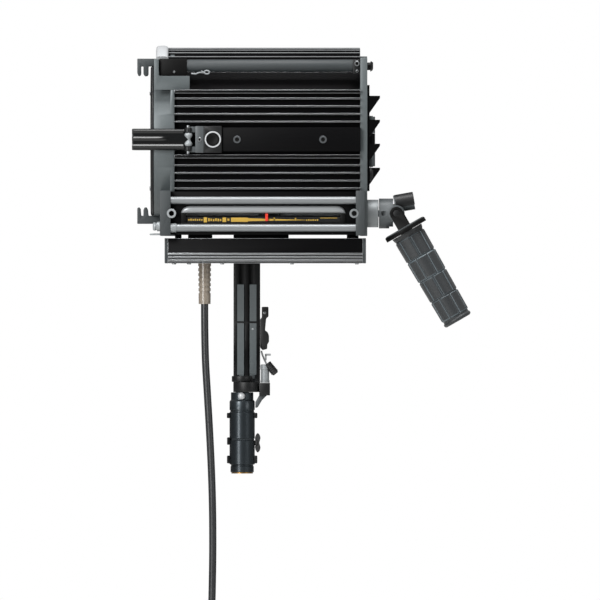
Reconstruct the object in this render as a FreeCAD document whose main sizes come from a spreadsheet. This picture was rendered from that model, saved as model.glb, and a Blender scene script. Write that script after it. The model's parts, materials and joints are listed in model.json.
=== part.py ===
import FreeCAD, Part
import math
import os
import Sketcher

# Plano-convex spotlight with a one-armed yoke, a focus handle and a mains lead.
# Millimetres. X runs from the lens to the rear door, Y away from the focus side, Z up.
# The origin is the mouth of the spigot socket, on the socket's axis.

document = FreeCAD.newDocument("PlanoConvexSpotlight")
sheet = document.addObject("Spreadsheet::Sheet", "Sizes")
nodes = []


# Sizes

class Size:
    """A number together with the formula that gives it from the cells of the sheet."""

    def __init__(self, value, formula):
        self.value = float(value)
        self.formula = formula

    def __add__(self, other):
        other = as_size(other)
        return Size(self.value + other.value, "(%s + %s)" % (self.formula, other.formula))

    def __radd__(self, other):
        return as_size(other) + self

    def __sub__(self, other):
        other = as_size(other)
        return Size(self.value - other.value, "(%s - %s)" % (self.formula, other.formula))

    def __rsub__(self, other):
        return as_size(other) - self

    def __mul__(self, other):
        other = as_size(other)
        return Size(self.value * other.value, "(%s * %s)" % (self.formula, other.formula))

    def __rmul__(self, other):
        return as_size(other) * self

    def __truediv__(self, other):
        other = as_size(other)
        return Size(self.value / other.value, "(%s / %s)" % (self.formula, other.formula))

    def __neg__(self):
        return Size(-self.value, "(0 - %s)" % self.formula)


def as_size(item):
    """A Size from a Size or a plain number."""
    if isinstance(item, Size):
        return item
    return Size(item, "(%s)" % repr(item))


def sine(angle):
    return Size(math.sin(math.radians(angle.value)), "sin(%s * 1 deg)" % angle.formula)


def cosine(angle):
    return Size(math.cos(math.radians(angle.value)), "cos(%s * 1 deg)" % angle.formula)


def root(square):
    return Size(math.sqrt(square.value), "sqrt(%s)" % square.formula)


class Group:
    """The driving sizes of one piece, each a cell of the sheet with an alias."""

    row = 0

    def __init__(self, piece, values):
        for name, value in values.items():
            Group.row += 1
            alias = "%s_%s" % (piece, name)
            sheet.set("A%d" % Group.row, repr(value))
            sheet.setAlias("A%d" % Group.row, alias)
            sheet.set("B%d" % Group.row, "%s %s" % (piece, name))
            setattr(self, name, Size(value, "Sizes.%s" % alias))


# Helpers: each makes objects of the document bound to the sheet

AXES = {
    "x": FreeCAD.Rotation(FreeCAD.Vector(0, 1, 0), 90),
    "y": FreeCAD.Rotation(FreeCAD.Vector(1, 0, 0), -90),
    "z": FreeCAD.Rotation(),
}


def bind(item, name, size):
    item.setExpression(name, as_size(size).formula)


def move(item, x, y, z):
    """Sets the item's own Placement from the sheet."""
    bind(item, "Placement.Base.x", x)
    bind(item, "Placement.Base.y", y)
    bind(item, "Placement.Base.z", z)
    return item


def turn(item, axis, angle):
    """Turns the item about an axis through its own origin, by degrees from the sheet."""
    item.Placement.Rotation = FreeCAD.Rotation(FreeCAD.Vector(*axis), angle.value)
    bind(item, "Placement.Rotation.Angle", angle)
    return item


def box(x_span, y_span, z_span):
    """A block between two places along each axis."""
    made = document.addObject("Part::Box", "Block")
    lows = []
    for span, name in ((x_span, "Length"), (y_span, "Width"), (z_span, "Height")):
        low, high = sorted((as_size(span[0]), as_size(span[1])), key=lambda size: size.value)
        lows.append(low)
        bind(made, name, high - low)
    return move(made, *lows)


def rod(axis, centre, radius, start, end):
    """A cylinder along an axis; centre holds its two places across, in X, Y, Z order."""
    made = document.addObject("Part::Cylinder", "Rod")
    made.Placement.Rotation = AXES[axis]
    bind(made, "Radius", radius)
    bind(made, "Height", as_size(end) - start)
    place = list(centre)
    place.insert("xyz".index(axis), start)
    return move(made, *place)


def cone(axis, centre, start_radius, end_radius, start, end):
    """A tapered cylinder along an axis."""
    made = document.addObject("Part::Cone", "Taper")
    made.Placement.Rotation = AXES[axis]
    bind(made, "Radius1", start_radius)
    bind(made, "Radius2", end_radius)
    bind(made, "Height", as_size(end) - start)
    place = list(centre)
    place.insert("xyz".index(axis), start)
    return move(made, *place)


def ball(x, y, z, radius):
    made = document.addObject("Part::Sphere", "Ball")
    bind(made, "Radius", radius)
    return move(made, x, y, z)


def fuse(*pieces):
    made = document.addObject("Part::MultiFuse", "Joined")
    made.Shapes = list(pieces)
    return made


def common(*pieces):
    made = document.addObject("Part::MultiCommon", "Shared")
    made.Shapes = list(pieces)
    return made


def cut(base, *tools):
    """The base less each tool."""
    made = document.addObject("Part::Cut", "Less")
    made.Base = base
    made.Tool = tools[0] if len(tools) == 1 else group(*tools)
    return made


def group(*pieces):
    """Several solids as one object."""
    made = document.addObject("Part::Compound", "Set")
    made.Links = list(pieces)
    return made


def sketch(body, role, outlines, lift=None):
    """A sketch on one of the body's origin planes, each corner bound to the sheet."""
    made = body.newObject("Sketcher::SketchObject", "Outline")
    plane = [item for item in body.Origin.OriginFeatures if item.Role == role][0]
    made.AttachmentSupport = [(plane, "")]
    made.MapMode = "FlatFace"
    if lift is not None:
        bind(made, "AttachmentOffset.Base.z", lift)
    for points in outlines:
        points = [(as_size(across), as_size(up)) for across, up in points]
        first = made.GeometryCount
        count = len(points)
        for index in range(count):
            here = points[index]
            there = points[(index + 1) % count]
            start = FreeCAD.Vector(here[0].value, here[1].value, 0)
            end = FreeCAD.Vector(there[0].value, there[1].value, 0)
            made.addGeometry(Part.LineSegment(start, end), False)
        for index in range(count):
            following = first + (index + 1) % count
            made.addConstraint(Sketcher.Constraint("Coincident", first + index, 2, following, 1))
        for index, place in enumerate(points):
            for kind, size in (("DistanceX", place[0]), ("DistanceY", place[1])):
                rule = Sketcher.Constraint(kind, -1, 1, first + index, 1, size.value)
                bind(made, "Constraints[%d]" % made.addConstraint(rule), size)
    return made


def pad(role, outlines, depth, lift=None):
    """A body padded from closed outlines; inner outlines are openings."""
    body = document.addObject("PartDesign::Body", "Body")
    profile = sketch(body, role, outlines, lift)
    feature = body.newObject("PartDesign::Pad", "Pad")
    feature.Profile = profile
    bind(feature, "Length", depth)
    return body


def spin(axis, outline, x, y, z):
    """A body turned about an axis through a place; outline holds (along, radius) points."""
    role = {"x": "XZ_Plane", "y": "YZ_Plane", "z": "XZ_Plane"}[axis]
    if axis == "z":
        outline = [(radius, along) for along, radius in outline]
    body = document.addObject("PartDesign::Body", "Body")
    profile = sketch(body, role, [outline])
    feature = body.newObject("PartDesign::Revolution", "Revolution")
    feature.Profile = profile
    feature.ReferenceAxis = (profile, ["V_Axis" if axis == "z" else "H_Axis"])
    feature.Angle = 360
    return move(body, x, y, z)


def node(label, item):
    """Names a finished sub-part; its label is also its file's name."""
    item.Label = label
    nodes.append(item)
    return item


# Shared sizes

gap_sizes = {"face": 0.3, "run": 0.05, "loose": 0.6, "over": 1.0}
gap = Group("gap", gap_sizes)
lamp_axis_sizes = {"height": 400.0, "tilt_place": 5.4}
lamp_axis = Group("axis", lamp_axis_sizes)
over = gap.over
axis_z = lamp_axis.height
middle = as_size(0)

# Housing: a finned extrusion with a keel below and an arched top

shell_sizes = {
    "front": -81.0, "rear": 142.0, "half_width": 78.0, "shoulder": 61.0, "side_floor": 63.0,
    "keel_inset": 38.0, "keel_floor": 110.0, "wall": 3.5, "arch_rise": 18.0}
shell = Group("housing", shell_sizes)
fin_sizes = {
    "reach": 12.0, "thick": 1.5, "heavy": 4.0, "pitch": 9.3, "tip_rise": 15.0, "spread": 12.0,
    "foot": 20.0}
fin = Group("fin", fin_sizes)
rail_sizes = {
    "lift": 1.4, "half": 14.3, "thick": 13.0, "front": -24.0, "screw_front": -6.0,
    "screw_far": 45.0, "screw_rear": 97.2}
rail = Group("rail", rail_sizes)
slot_sizes = {"half": 6.0, "front": -44.0, "rear": 104.0}
slot = Group("slot", slot_sizes)
handle_sizes = {"keel_gap": 18.0, "drop": 87.3, "bore": 4.4}
handle = Group("handle", handle_sizes)

rail_z = axis_z + rail.lift
shoulder_z = axis_z + shell.shoulder
side_floor_z = axis_z - shell.side_floor
keel_z = axis_z - shell.keel_floor
side_y = shell.half_width
keel_half = side_y - shell.keel_inset
arch_radius = side_y + shell.arch_rise
tip_radius = arch_radius + fin.tip_rise
screw_y = -(keel_half + handle.keel_gap)
screw_z = axis_z - handle.drop
fin_y = side_y + fin.reach


def shell_outline(inset):
    """The housing's straight-sided section, drawn in by a wall."""
    half = side_y - inset
    keel = keel_half - inset
    top = shoulder_z - inset
    floor = side_floor_z + inset
    bottom = keel_z + inset
    right = [(keel, bottom), (keel, floor), (half, floor), (half, top)]
    left = [(-across, up) for across, up in reversed(right)]
    return left + right


def shell_solid(inset, front, rear):
    """The section with its arched top, over a length."""
    straight = pad("YZ_Plane", [shell_outline(inset)], rear - front, front)
    arch = rod("x", (middle, axis_z), arch_radius - inset, front, rear)
    sides = box((front, rear), (inset - side_y, side_y - inset), (axis_z, axis_z + arch_radius))
    return fuse(straight, common(arch, sides))


def side_fins(side):
    """The level fins of one side, above and below the rail."""
    inner = side * (side_y - over)
    outer = side * fin_y
    span = (shell.front, shell.rear)
    made = [
        box(span, (inner, outer), (shoulder_z, shoulder_z - fin.heavy)),
        box(span, (inner, outer), (rail_z - rail.half - fin.heavy, rail_z - rail.half - 2 * fin.heavy)),
    ]
    for count in range(1, 5):
        upper = rail_z + rail.half + fin.pitch * count - fin.thick
        lower = rail_z - rail.half - 2 * fin.heavy - fin.pitch * count
        made.append(box(span, (inner, outer), (upper, upper - fin.thick)))
        made.append(box(span, (inner, outer), (lower, lower + fin.thick)))
    return made


top_plates = []
for count in range(-4, 5):
    place = fin.spread * count
    thickness = (place - fin.thick / 2, place + fin.thick / 2)
    rise = (axis_z + arch_radius - fin.foot, axis_z + tip_radius)
    top_plates.append(box((shell.front, shell.rear), thickness, rise))
top_round = rod("x", (middle, axis_z), tip_radius, shell.front, shell.rear)
top_fins = common(fuse(*top_plates), top_round)
outside = fuse(shell_solid(as_size(0), shell.front, shell.rear), top_fins, *(side_fins(-1) + side_fins(1)))
inside = shell_solid(shell.wall, shell.front - over, shell.rear + over)
slot_cut = box((slot.front, slot.rear), (-keel_half - over, over - keel_half + shell.wall),
               (screw_z - slot.half, screw_z + slot.half))
node("housing", cut(outside, inside, slot_cut))

strips = []
for side in (-1, 1):
    strips.append(box((rail.front, shell.rear), (side * side_y, side * (side_y + rail.thick)),
                      (rail_z - rail.half, rail_z + rail.half)))
node("side_rails", group(*strips))

rail_head_sizes = {"radius": 4.2, "height": 1.2}
rail_head = Group("rail_screw", rail_head_sizes)
rail_screws = []
for side, first_place in ((-1, rail.screw_front), (1, rail.screw_far)):
    face = side_y + rail.thick
    ends = sorted((side * face, side * (face + rail_head.height)), key=lambda size: size.value)
    for place in (first_place, rail.screw_rear):
        rail_screws.append(rod("y", (place, rail_z), rail_head.radius, *ends))
node("rail_screws", group(*rail_screws))

# Front casting, lens and lens ring

front_sizes = {
    "face": -106.0, "rim": 12.0, "bore_lip": 0.5, "flange": 5.0, "lip": 6.0,
    "foot_face": -98.5, "foot_top": 60.0, "foot_floor": 114.0, "crown_rise": 14.0,
    "crown_lip": 1.5}
front = Group("front", front_sizes)
ring_sizes = {"thick": 4.0, "step": 4.0, "edge": 1.5}
ring = Group("lens_ring", ring_sizes)
glass_sizes = {"margin": 10.0, "edge": 5.0, "bulge": 24.0, "seat": 1.5}
glass = Group("lens", glass_sizes)
cell_sizes = {"wall": 1.2, "depth": 9.0, "lip": 3.0}
cell = Group("lens_cell", cell_sizes)
frame_half = side_y + front.lip
crown_half = side_y + front.crown_lip
crown_radius = arch_radius + front.crown_rise
rim_radius = side_y + front.rim
lens_radius = side_y - glass.margin
ring_bore = lens_radius + ring.step

bar_sizes = {"radius": 7.5, "inset": 8.0, "drop": 6.0, "front": -100.0, "rear": 133.0}
bar = Group("bar", bar_sizes)

casting = fuse(
    rod("x", (middle, axis_z), rim_radius, front.face, shell.front),
    box((shell.front - front.flange, shell.front), (-frame_half, frame_half),
        (axis_z - front.foot_floor, shoulder_z)),
    box((front.foot_face, shell.front), (-frame_half, frame_half),
        (axis_z - front.foot_floor, axis_z - front.foot_top)),
    common(rod("x", (middle, axis_z), crown_radius, shell.front - front.flange, shell.front),
           box((front.face, shell.front), (-crown_half, crown_half),
               (shoulder_z - over, axis_z + crown_radius))))
bore = rod("x", (middle, axis_z), lens_radius - front.bore_lip, front.face - over, shell.front + over)
bar_z = axis_z + arch_radius - bar.drop
bar_y = side_y - bar.inset
bar_ways = [rod("x", (side * bar_y, bar_z), bar.radius + gap.face, front.face, shell.front + over)
            for side in (-1, 1)]
node("front_frame", cut(casting, bore, *bar_ways))

ring_face = front.face - ring.thick
ring_outline = [
    (ring_face, ring_bore), (ring_face, rim_radius - ring.edge), (ring_face + ring.edge, rim_radius),
    (front.face, rim_radius), (front.face, ring_bore)]
node("lens_ring", spin("x", ring_outline, 0, 0, axis_z))

lens_back = shell.front + glass.seat + glass.edge
apex = shell.front + glass.seat - glass.bulge
curve = (lens_radius * lens_radius + glass.bulge * glass.bulge) / (2 * glass.bulge)
lens_disc = rod("x", (middle, axis_z), lens_radius, apex, lens_back)
node("lens", common(lens_disc, ball(apex + curve, 0, axis_z, curve)))

cell_inner = lens_radius + gap.face
cell_outline = [
    (shell.front, cell_inner), (shell.front, cell_inner + cell.wall),
    (shell.front + cell.depth + cell.lip, cell_inner + cell.wall),
    (shell.front + cell.depth + cell.lip, lens_radius - cell.lip),
    (shell.front + cell.depth, lens_radius - cell.lip), (lens_back + gap.face, lens_radius - cell.lip),
    (lens_back + gap.face, cell_inner)]
node("lens_cell", spin("x", cell_outline, 0, 0, axis_z))

# Accessory claws around the lens ring

claw_sizes = {
    "front": -127.0, "prong": 4.0, "slot": 4.5, "foot": -99.0, "thick": 9.0, "drop": 22.0,
    "width": 14.0}
claw = Group("claw", claw_sizes)


def claw_piece(direction):
    """A two-pronged claw on the ring's rim; direction is up or down along Z."""
    low = rim_radius
    high = low + claw.thick
    tip = high - claw.drop
    second = claw.front + claw.prong + claw.slot
    points = [
        (claw.front, tip), (claw.front + claw.prong, tip), (claw.front + claw.prong, low),
        (second, low), (second, tip), (second + claw.prong, tip),
        (second + claw.prong, low), (claw.foot, low), (claw.foot, high), (claw.front, high)]
    outline = [(along, axis_z + direction * away) for along, away in points]
    return pad("XZ_Plane", [outline], claw.width, -claw.width / 2)


far_claw = claw_piece(1)
move(far_claw, 0, -axis_z, axis_z)
turn(far_claw, (1, 0, 0), as_size(-90))
node("claws", group(claw_piece(1), claw_piece(-1), far_claw))

# Rear frame, rear door and its hinge

back_sizes = {
    "face": 150.4, "rise": 61.0, "floor": 114.0, "arch_rise": 6.0, "ear_rise": 3.0,
    "ear_inset": 26.0, "door_inset": 12.0, "door_top": 62.0, "door_floor": 55.0}
back = Group("rear", back_sizes)
back_arch = arch_radius + back.arch_rise
door_half = side_y - back.door_inset
door_sizes = {"lip": 5.0}
door = Group("door", door_sizes)
louvre_sizes = {
    "first": 54.2, "pitch": 28.8, "height": 20.4, "depth": 12.6, "sheet": 1.2, "brow": 2.5}
louvre = Group("louvre", louvre_sizes)
pin_sizes = {"radius": 2.0, "knuckle": 4.6, "x_offset": 5.2, "reach": 8.0, "half": 30.0, "leaf": 2.4}
pin = Group("door_pin", pin_sizes)
catch_sizes = {"inset": 8.0, "z_offset": -40.0, "radius": 8.0, "length": 9.0, "shank": 3.0}
catch = Group("door_knob", catch_sizes)
hinge_line = door_half + pin.reach
catch_y = catch.inset - door_half
catch_reach = root(catch.radius * catch.radius + catch.shank * catch.shank)
scoop_half = -catch_y - catch_reach - gap.loose

plate = fuse(
    box((shell.rear, back.face), (-frame_half, frame_half),
        (axis_z - back.floor, axis_z + back.rise)),
    common(rod("x", (middle, axis_z), back_arch, shell.rear, back.face),
           box((shell.rear, back.face), (-frame_half, frame_half),
               (axis_z, axis_z + back_arch))),
    *[box((shell.rear, back.face), (side * frame_half, side * (side_y - back.ear_inset)),
          (axis_z + back.rise - over, axis_z + arch_radius + back.ear_rise)) for side in (-1, 1)])
doorway = box((shell.rear - over, back.face + over), (-door_half, door_half),
              (axis_z - back.door_floor, axis_z + back.door_top))
screw_way = rod("x", (screw_y, screw_z), handle.bore, shell.rear - over, back.face + over)
rear_cut = cut(plate, doorway, screw_way)

hinge_x = back.face + pin.x_offset
knuckle_reach = (back.face, hinge_x)
hinge_low = axis_z - pin.half
hinge_high = axis_z + pin.half
third = (hinge_high - hinge_low) / 3


def knuckle(low, high, inner_y, outer_y):
    """One barrel of the door's hinge with its leaf."""
    barrel = rod("z", (hinge_x, hinge_line), pin.knuckle, low, high)
    leaf = box(knuckle_reach, (inner_y, outer_y), (low, high))
    return cut(fuse(barrel, leaf), rod("z", (hinge_x, hinge_line), pin.radius + gap.run, low - over,
                                       high + over))


frame_knuckles = [
    knuckle(hinge_low, hinge_low + third, hinge_line, hinge_line + pin.knuckle),
    knuckle(hinge_high - third, hinge_high, hinge_line, hinge_line + pin.knuckle)]
node("rear_frame", fuse(rear_cut, *frame_knuckles))

leaf_face = back.face + gap.face
door_edge = door_half + door.lip
door_low = axis_z - back.door_floor - door.lip
door_high = axis_z + back.door_top + door.lip
cover_sheet = box((leaf_face, leaf_face + pin.leaf), (-door_edge, hinge_line - pin.knuckle - gap.loose),
                  (door_low, door_high))
arm_sheet = box((leaf_face, leaf_face + pin.leaf), (door_half - over, hinge_line),
                (hinge_low + third + gap.face, hinge_high - third - gap.face))
door_barrel = knuckle(hinge_low + third + gap.face, hinge_high - third - gap.face,
                      hinge_line - pin.knuckle, hinge_line)
door_barrel = common(door_barrel, box((leaf_face, hinge_x + pin.knuckle + over),
                                      (door_half, door_edge + 2 * pin.knuckle),
                                      (door_low, door_high)))
door_plate = fuse(cover_sheet, cut(arm_sheet, rod("z", (hinge_x, hinge_line), pin.radius + gap.run,
                                                  hinge_low, hinge_high)), door_barrel)
scoop_face = leaf_face + pin.leaf
tools = []
scoops = []
for count in range(4):
    top = axis_z + louvre.first - louvre.pitch * count
    tip = scoop_face + louvre.depth
    outline = [
        (scoop_face, top - louvre.height), (tip, top - louvre.brow), (tip, top), (scoop_face, top)]
    shape = pad("XZ_Plane", [outline], 2 * scoop_half, -scoop_half)
    hollow = [
        (scoop_face - over, top - louvre.height + 2 * louvre.sheet),
        (tip - louvre.sheet, top - louvre.brow + louvre.sheet), (tip - louvre.sheet, top + over),
        (scoop_face - over, top + over)]
    inner = 2 * (scoop_half - louvre.sheet)
    scoops.append(cut(shape, pad("XZ_Plane", [hollow], inner, -inner / 2)))
    vent = box((leaf_face - over, scoop_face + over), (-inner / 2, inner / 2),
               (top - louvre.height + 3 * louvre.sheet, top - louvre.sheet))
    tools.append(vent)
knob_hole = rod("x", (catch_y, axis_z + catch.z_offset), catch.shank + gap.run, leaf_face - over,
                scoop_face + over)
node("rear_door", fuse(cut(door_plate, knob_hole, *tools), *scoops))
door_pin = rod("z", (hinge_x, hinge_line), pin.radius, hinge_low - over, hinge_high + over)

knob_front = scoop_face + gap.face
knob_solid = fuse(
    rod("x", (catch_y, axis_z + catch.z_offset), catch.shank, leaf_face - pin.leaf, knob_front),
    rod("x", (catch_y, axis_z + catch.z_offset), catch.radius, knob_front, knob_front + pin.leaf),
    box((knob_front, knob_front + catch.length),
        (catch_y - catch.shank, catch_y + catch.shank),
        (axis_z + catch.z_offset - catch.radius, axis_z + catch.z_offset + catch.radius)))
node("door_knob", knob_solid)

# Top bars, their fittings, the side plates of the front and the bright cap

plate_front_sizes = {
    "front": -105.6, "rear": -62.8, "thick": 4.0, "height": 16.6, "inner_inset": 16.0,
    "rise": 2.0}
plate_front = Group("bracket", plate_front_sizes)
fitting_sizes = {"half": 7.5, "thick": 4.0, "knob": 6.0, "knob_length": 7.0}
fitting = Group("fitting", fitting_sizes)
cap_sizes = {"front": -102.0, "lift": 4.5, "depth": 14.1}
cap = Group("cap", cap_sizes)

bars = []
side_plates = []
fittings = []
for side in (-1, 1):
    place = (side * bar_y, bar_z)
    bars.append(rod("x", place, bar.radius, bar.front, bar.rear))
    level = box((plate_front.front + over, plate_front.rear),
                (side * frame_half, side * (frame_half - plate_front.thick)),
                (shoulder_z, shoulder_z + plate_front.height))
    strip = box((plate_front.front, bar.front),
                (side * frame_half, side * (side_y - plate_front.inner_inset)),
                (shoulder_z + plate_front.height - over, axis_z + arch_radius + plate_front.rise))
    lower = box((plate_front.front, bar.front),
                (side * frame_half, side * (frame_half - plate_front.thick)),
                (shoulder_z, shoulder_z + plate_front.height))
    side_plates.append(fuse(level, strip, lower))
    block = box((bar.rear, shell.rear),
                (side * (bar_y - fitting.half), side * (bar_y + fitting.half)),
                (bar_z - fitting.half - fitting.thick / 2, bar_z + fitting.half))
    fittings.append(block)
    stem = rod("x", place, fitting.thick, back.face, back.face + fitting.thick)
    head = cone("x", place, fitting.knob, fitting.thick, back.face + fitting.thick,
                back.face + fitting.knob_length)
    fittings.append(fuse(stem, head))
node("top_bars", group(*bars))
node("front_brackets", group(*side_plates))
node("bar_fittings", group(*fittings))

cap_radius = crown_radius + cap.lift
cap_disc = rod("x", (middle, axis_z), cap_radius, cap.front, shell.front - front.flange)
cap_box = box((cap.front - over, shell.front), (-cap_radius, cap_radius),
              (axis_z + cap_radius - cap.depth, axis_z + cap_radius + over))
node("top_cap", common(cap_disc, cap_box))

# Front latch: block, hinge, lever, button

latch_sizes = {
    "hinge_x": -64.7, "hinge_reach": 17.0, "pin": 2.0, "barrel": 4.5, "half": 16.0, "arm_front": -132.0,
    "arm_half": 13.0, "arm_thick": 7.0, "ridge": 1.6, "base_front": -56.0, "base_rear": -46.0,
    "prong": 13.0}
latch = Group("latch", latch_sizes)
press_sizes = {
    "x_place": -34.9, "rear": -24.3, "block": 16.0, "ring": 9.7, "ring_bore": 7.2, "ring_rise": 1.2,
    "travel": 3.0, "rise": 2.0, "depth": 9.0}
press = Group("button", press_sizes)

block_face = -(side_y + press.block)
hinge_y = -(side_y + latch.hinge_reach)
low_z = rail_z - latch.half
high_z = rail_z + latch.half
knuckle_height = 2 * latch.half / 4
button_way = rod("y", (press.x_place, rail_z), press.ring_bore + gap.face,
                 block_face - over, block_face + press.depth + press.travel + gap.face)
block = box((latch.base_rear, press.rear), (block_face, -side_y), (low_z, high_z))
node("button_block", cut(block, button_way))
ring_way = rod("y", (press.x_place, rail_z), press.ring_bore + gap.face, block_face - press.ring_rise - over,
               block_face + over)
ring_disc = rod("y", (press.x_place, rail_z), press.ring, block_face - press.ring_rise, block_face)
node("button_ring", cut(ring_disc, ring_way))
node("latch_button", rod("y", (press.x_place, rail_z), press.ring_bore, block_face - press.rise,
                         block_face + press.depth))

hinge = (latch.hinge_x, hinge_y)
tower = []
for low, high in ((low_z, low_z + knuckle_height), (high_z - knuckle_height, high_z)):
    tower.append(rod("z", hinge, latch.barrel, low, high))
    tower.append(box((latch.hinge_x, latch.base_front), (hinge_y, hinge_y + latch.barrel),
                     (low, high)))
base_plate = box((latch.base_front, latch.base_rear), (hinge_y, -side_y), (low_z, high_z))
pin_way = rod("z", hinge, latch.pin + gap.run, low_z - over, high_z + over)
node("latch_base", cut(fuse(base_plate, *tower), pin_way))
node("hinge_pins", group(door_pin, rod("z", hinge, latch.pin, low_z - over, high_z + over)))

arm_low = low_z + knuckle_height + gap.face
arm_high = high_z - knuckle_height - gap.face
arm_inner = -(rim_radius + gap.loose)
arm_outer = arm_inner - latch.arm_thick
arm = fuse(
    box((latch.arm_front, latch.hinge_x - latch.barrel), (arm_outer, arm_inner),
        (rail_z - latch.arm_half, rail_z + latch.arm_half)),
    rod("z", hinge, latch.barrel, arm_low, arm_high),
    box((latch.hinge_x - latch.barrel - over, latch.hinge_x), (hinge_y - latch.barrel, arm_inner),
        (arm_low, arm_high)),
    *[box((latch.arm_front + latch.barrel, latch.hinge_x - 2 * latch.barrel),
          (arm_outer - latch.ridge, arm_outer + over),
          (rail_z + place * latch.arm_half * 2 / 3 - latch.ridge, rail_z + place * latch.arm_half * 2 / 3
           + latch.ridge)) for place in (-1, 0, 1)],
    *[box((start, start + claw.prong), (arm_inner - over, arm_inner + latch.prong),
          (rail_z - claw.width / 2, rail_z + claw.width / 2))
      for start in (claw.front, claw.front + claw.prong + claw.slot)])
node("latch_lever", cut(arm, pin_way))

# Guard rods, their blocks, the scale cover, its window, scale and needle

guard_sizes = {
    "reach": 9.0, "upper": 15.7, "lower": 17.3, "radius": 4.5, "block_reach": 15.0,
    "front": -98.5, "front_end": -85.7, "rear_end": 136.6, "rear": 147.4}
guard = Group("guard", guard_sizes)
cover_sizes = {"thick": 3.2, "low": 25.5, "high": 26.3}
cover = Group("cover", cover_sizes)
window_sizes = {"front": -67.0, "rear": 118.0, "low": 11.2, "high": 0.2}
window = Group("window", window_sizes)
bezel_sizes = {
    "front": -73.0, "rear": 124.0, "low": 13.7, "high": 9.3, "thick": 2.5, "bead": 4.4,
    "bead_lift": 4.3, "bead_out": 0.5}
bezel = Group("bezel", bezel_sizes)
scale_sizes = {"thick": 1.0, "slot": 4.0, "pane": 1.0, "pane_depth": 1.6}
scale = Group("scale", scale_sizes)
needle_sizes = {"place": 29.5, "thick": 1.2, "stem": 2.0, "lift": 0.7, "tip": 2.5}
needle = Group("needle", needle_sizes)
big_screw_sizes = {"radius": 5.65, "height": 1.4, "front": -83.0, "rear": 133.8}
big_screw = Group("cover_screw", big_screw_sizes)

guard_y = -(frame_half + guard.reach)
block_outer = -(frame_half + guard.block_reach)
cover_inner = -(frame_half + gap.face)
cover_outer = cover_inner - cover.thick
bezel_outer = cover_outer - bezel.thick
bead_y = cover_outer - bezel.bead_out
block_low = axis_z - front.foot_floor
block_high = axis_z - front.foot_top
blocks = []
for start, end, screw_x in ((guard.front, guard.front_end, big_screw.front),
                            (guard.rear_end, guard.rear, big_screw.rear)):
    scallop = rod("y", (screw_x, screw_z), big_screw.radius + gap.face, block_outer - over,
                  over - frame_half)
    blocks.append(cut(box((start, end), (block_outer, -frame_half), (block_low, block_high)),
                      scallop))
node("rod_blocks", group(*blocks))
guard_rods = []
for place in (screw_z + guard.upper, screw_z - guard.lower):
    guard_rods.append(rod("x", (guard_y, place), guard.radius, guard.front_end, guard.rear_end))
node("guard_rods", group(*guard_rods))

opening_z = (screw_z - window.low, screw_z - window.high)
window_cut = box((window.front, window.rear), (cover_outer - over, cover_inner + over), opening_z)
panel = box((guard.front_end + gap.face, guard.rear_end - gap.face), (cover_outer, cover_inner),
            (screw_z - cover.low, screw_z + cover.high))
node("scale_cover", cut(panel, window_cut))

surround = box((bezel.front, bezel.rear), (bezel_outer, cover_outer),
               (screw_z - bezel.low, screw_z + bezel.high))
bead_place = (bead_y, screw_z + bezel.bead_lift)
bead = common(
    fuse(rod("x", bead_place, bezel.bead, bezel.front + bezel.bead, bezel.rear - bezel.bead),
         ball(bezel.front + bezel.bead, *bead_place, bezel.bead),
         ball(bezel.rear - bezel.bead, *bead_place, bezel.bead)),
    box((bezel.front, bezel.rear), (bead_y - bezel.bead, cover_outer),
        (screw_z - bezel.low, screw_z + bezel.high)))
bezel_cut = box((window.front, window.rear), (bead_y - bezel.bead - over, cover_outer + over),
                opening_z)
node("scale_bezel", cut(fuse(surround, bead), bezel_cut))

pane_face = bezel_outer + scale.pane_depth
glass_span = (window.front + gap.face, window.rear - gap.face)
node("scale_glass", box(glass_span, (pane_face - scale.pane, pane_face),
                        (opening_z[0] + gap.face, opening_z[1] - gap.face)))
node("scale_plate", box(glass_span, (cover_inner - scale.thick, cover_inner),
                        (opening_z[0] + gap.face, opening_z[1] - scale.slot)))
heads = []
for place in (big_screw.front, big_screw.rear):
    heads.append(rod("y", (place, screw_z), big_screw.radius, cover_outer - big_screw.height, cover_outer))
node("cover_screws", group(*heads))

# Base box with its end plates, spacers, gland and terminal block

base_sizes = {
    "front": -92.9, "rear": 148.8, "height": 30.0, "end": 3.6,
    "wall": 2.5, "rib": 2.0, "rib_thick": 1.6, "rib_first": 2.6, "rib_pitch": 3.8}
base = Group("base", base_sizes)
spacer_sizes = {
    "height": 7.0, "y_place": 28.0, "half": 4.0, "front_end": -73.0, "second_start": -65.0,
    "second_end": -36.0, "third_start": -10.0, "third_end": 56.0, "rear_start": 126.0, "rear_end": 140.0}
spacer = Group("spacer", spacer_sizes)
lead_sizes = {
    "x_place": -45.0, "y_place": -45.0, "radius": 4.4, "relief_top": 7.8, "relief_end": 7.1,
    "relief_length": 49.0, "groove": 0.9, "pitch": 6.0, "land": 3.6}
lead = Group("cord", lead_sizes)

base_top = keel_z - spacer.height
base_floor = base_top - base.height
walls = box((base.front + base.end, base.rear - base.end), (-frame_half, frame_half),
            (base_floor, base_top))
ribs = []
for side in (-1, 1):
    for count in range(3):
        low = base_floor + base.rib_first + base.rib_pitch * count
        ribs.append(box((base.front + base.end, base.rear - base.end),
                        (side * (frame_half - over), side * (frame_half + base.rib)),
                        (low, low + base.rib_thick)))
room = box((base.front, base.rear), (base.wall - frame_half, frame_half - base.wall),
           (base_floor + base.wall, base_top - base.wall))
node("base_box", cut(fuse(walls, *ribs), room))
ends = []
for start in (base.front, base.rear - base.end):
    ends.append(box((start, start + base.end), (-frame_half, frame_half), (base_floor, base_top)))
node("base_ends", group(*ends))
posts = []
for start, end in ((shell.front + gap.face, spacer.front_end), (spacer.second_start, spacer.second_end),
                   (spacer.third_start, spacer.third_end), (spacer.rear_start, spacer.rear_end)):
    for side in (-1, 1):
        place = side * spacer.y_place
        posts.append(box((start, end), (place - spacer.half, place + spacer.half), (base_top, keel_z)))
node("base_spacers", group(*posts))

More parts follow.
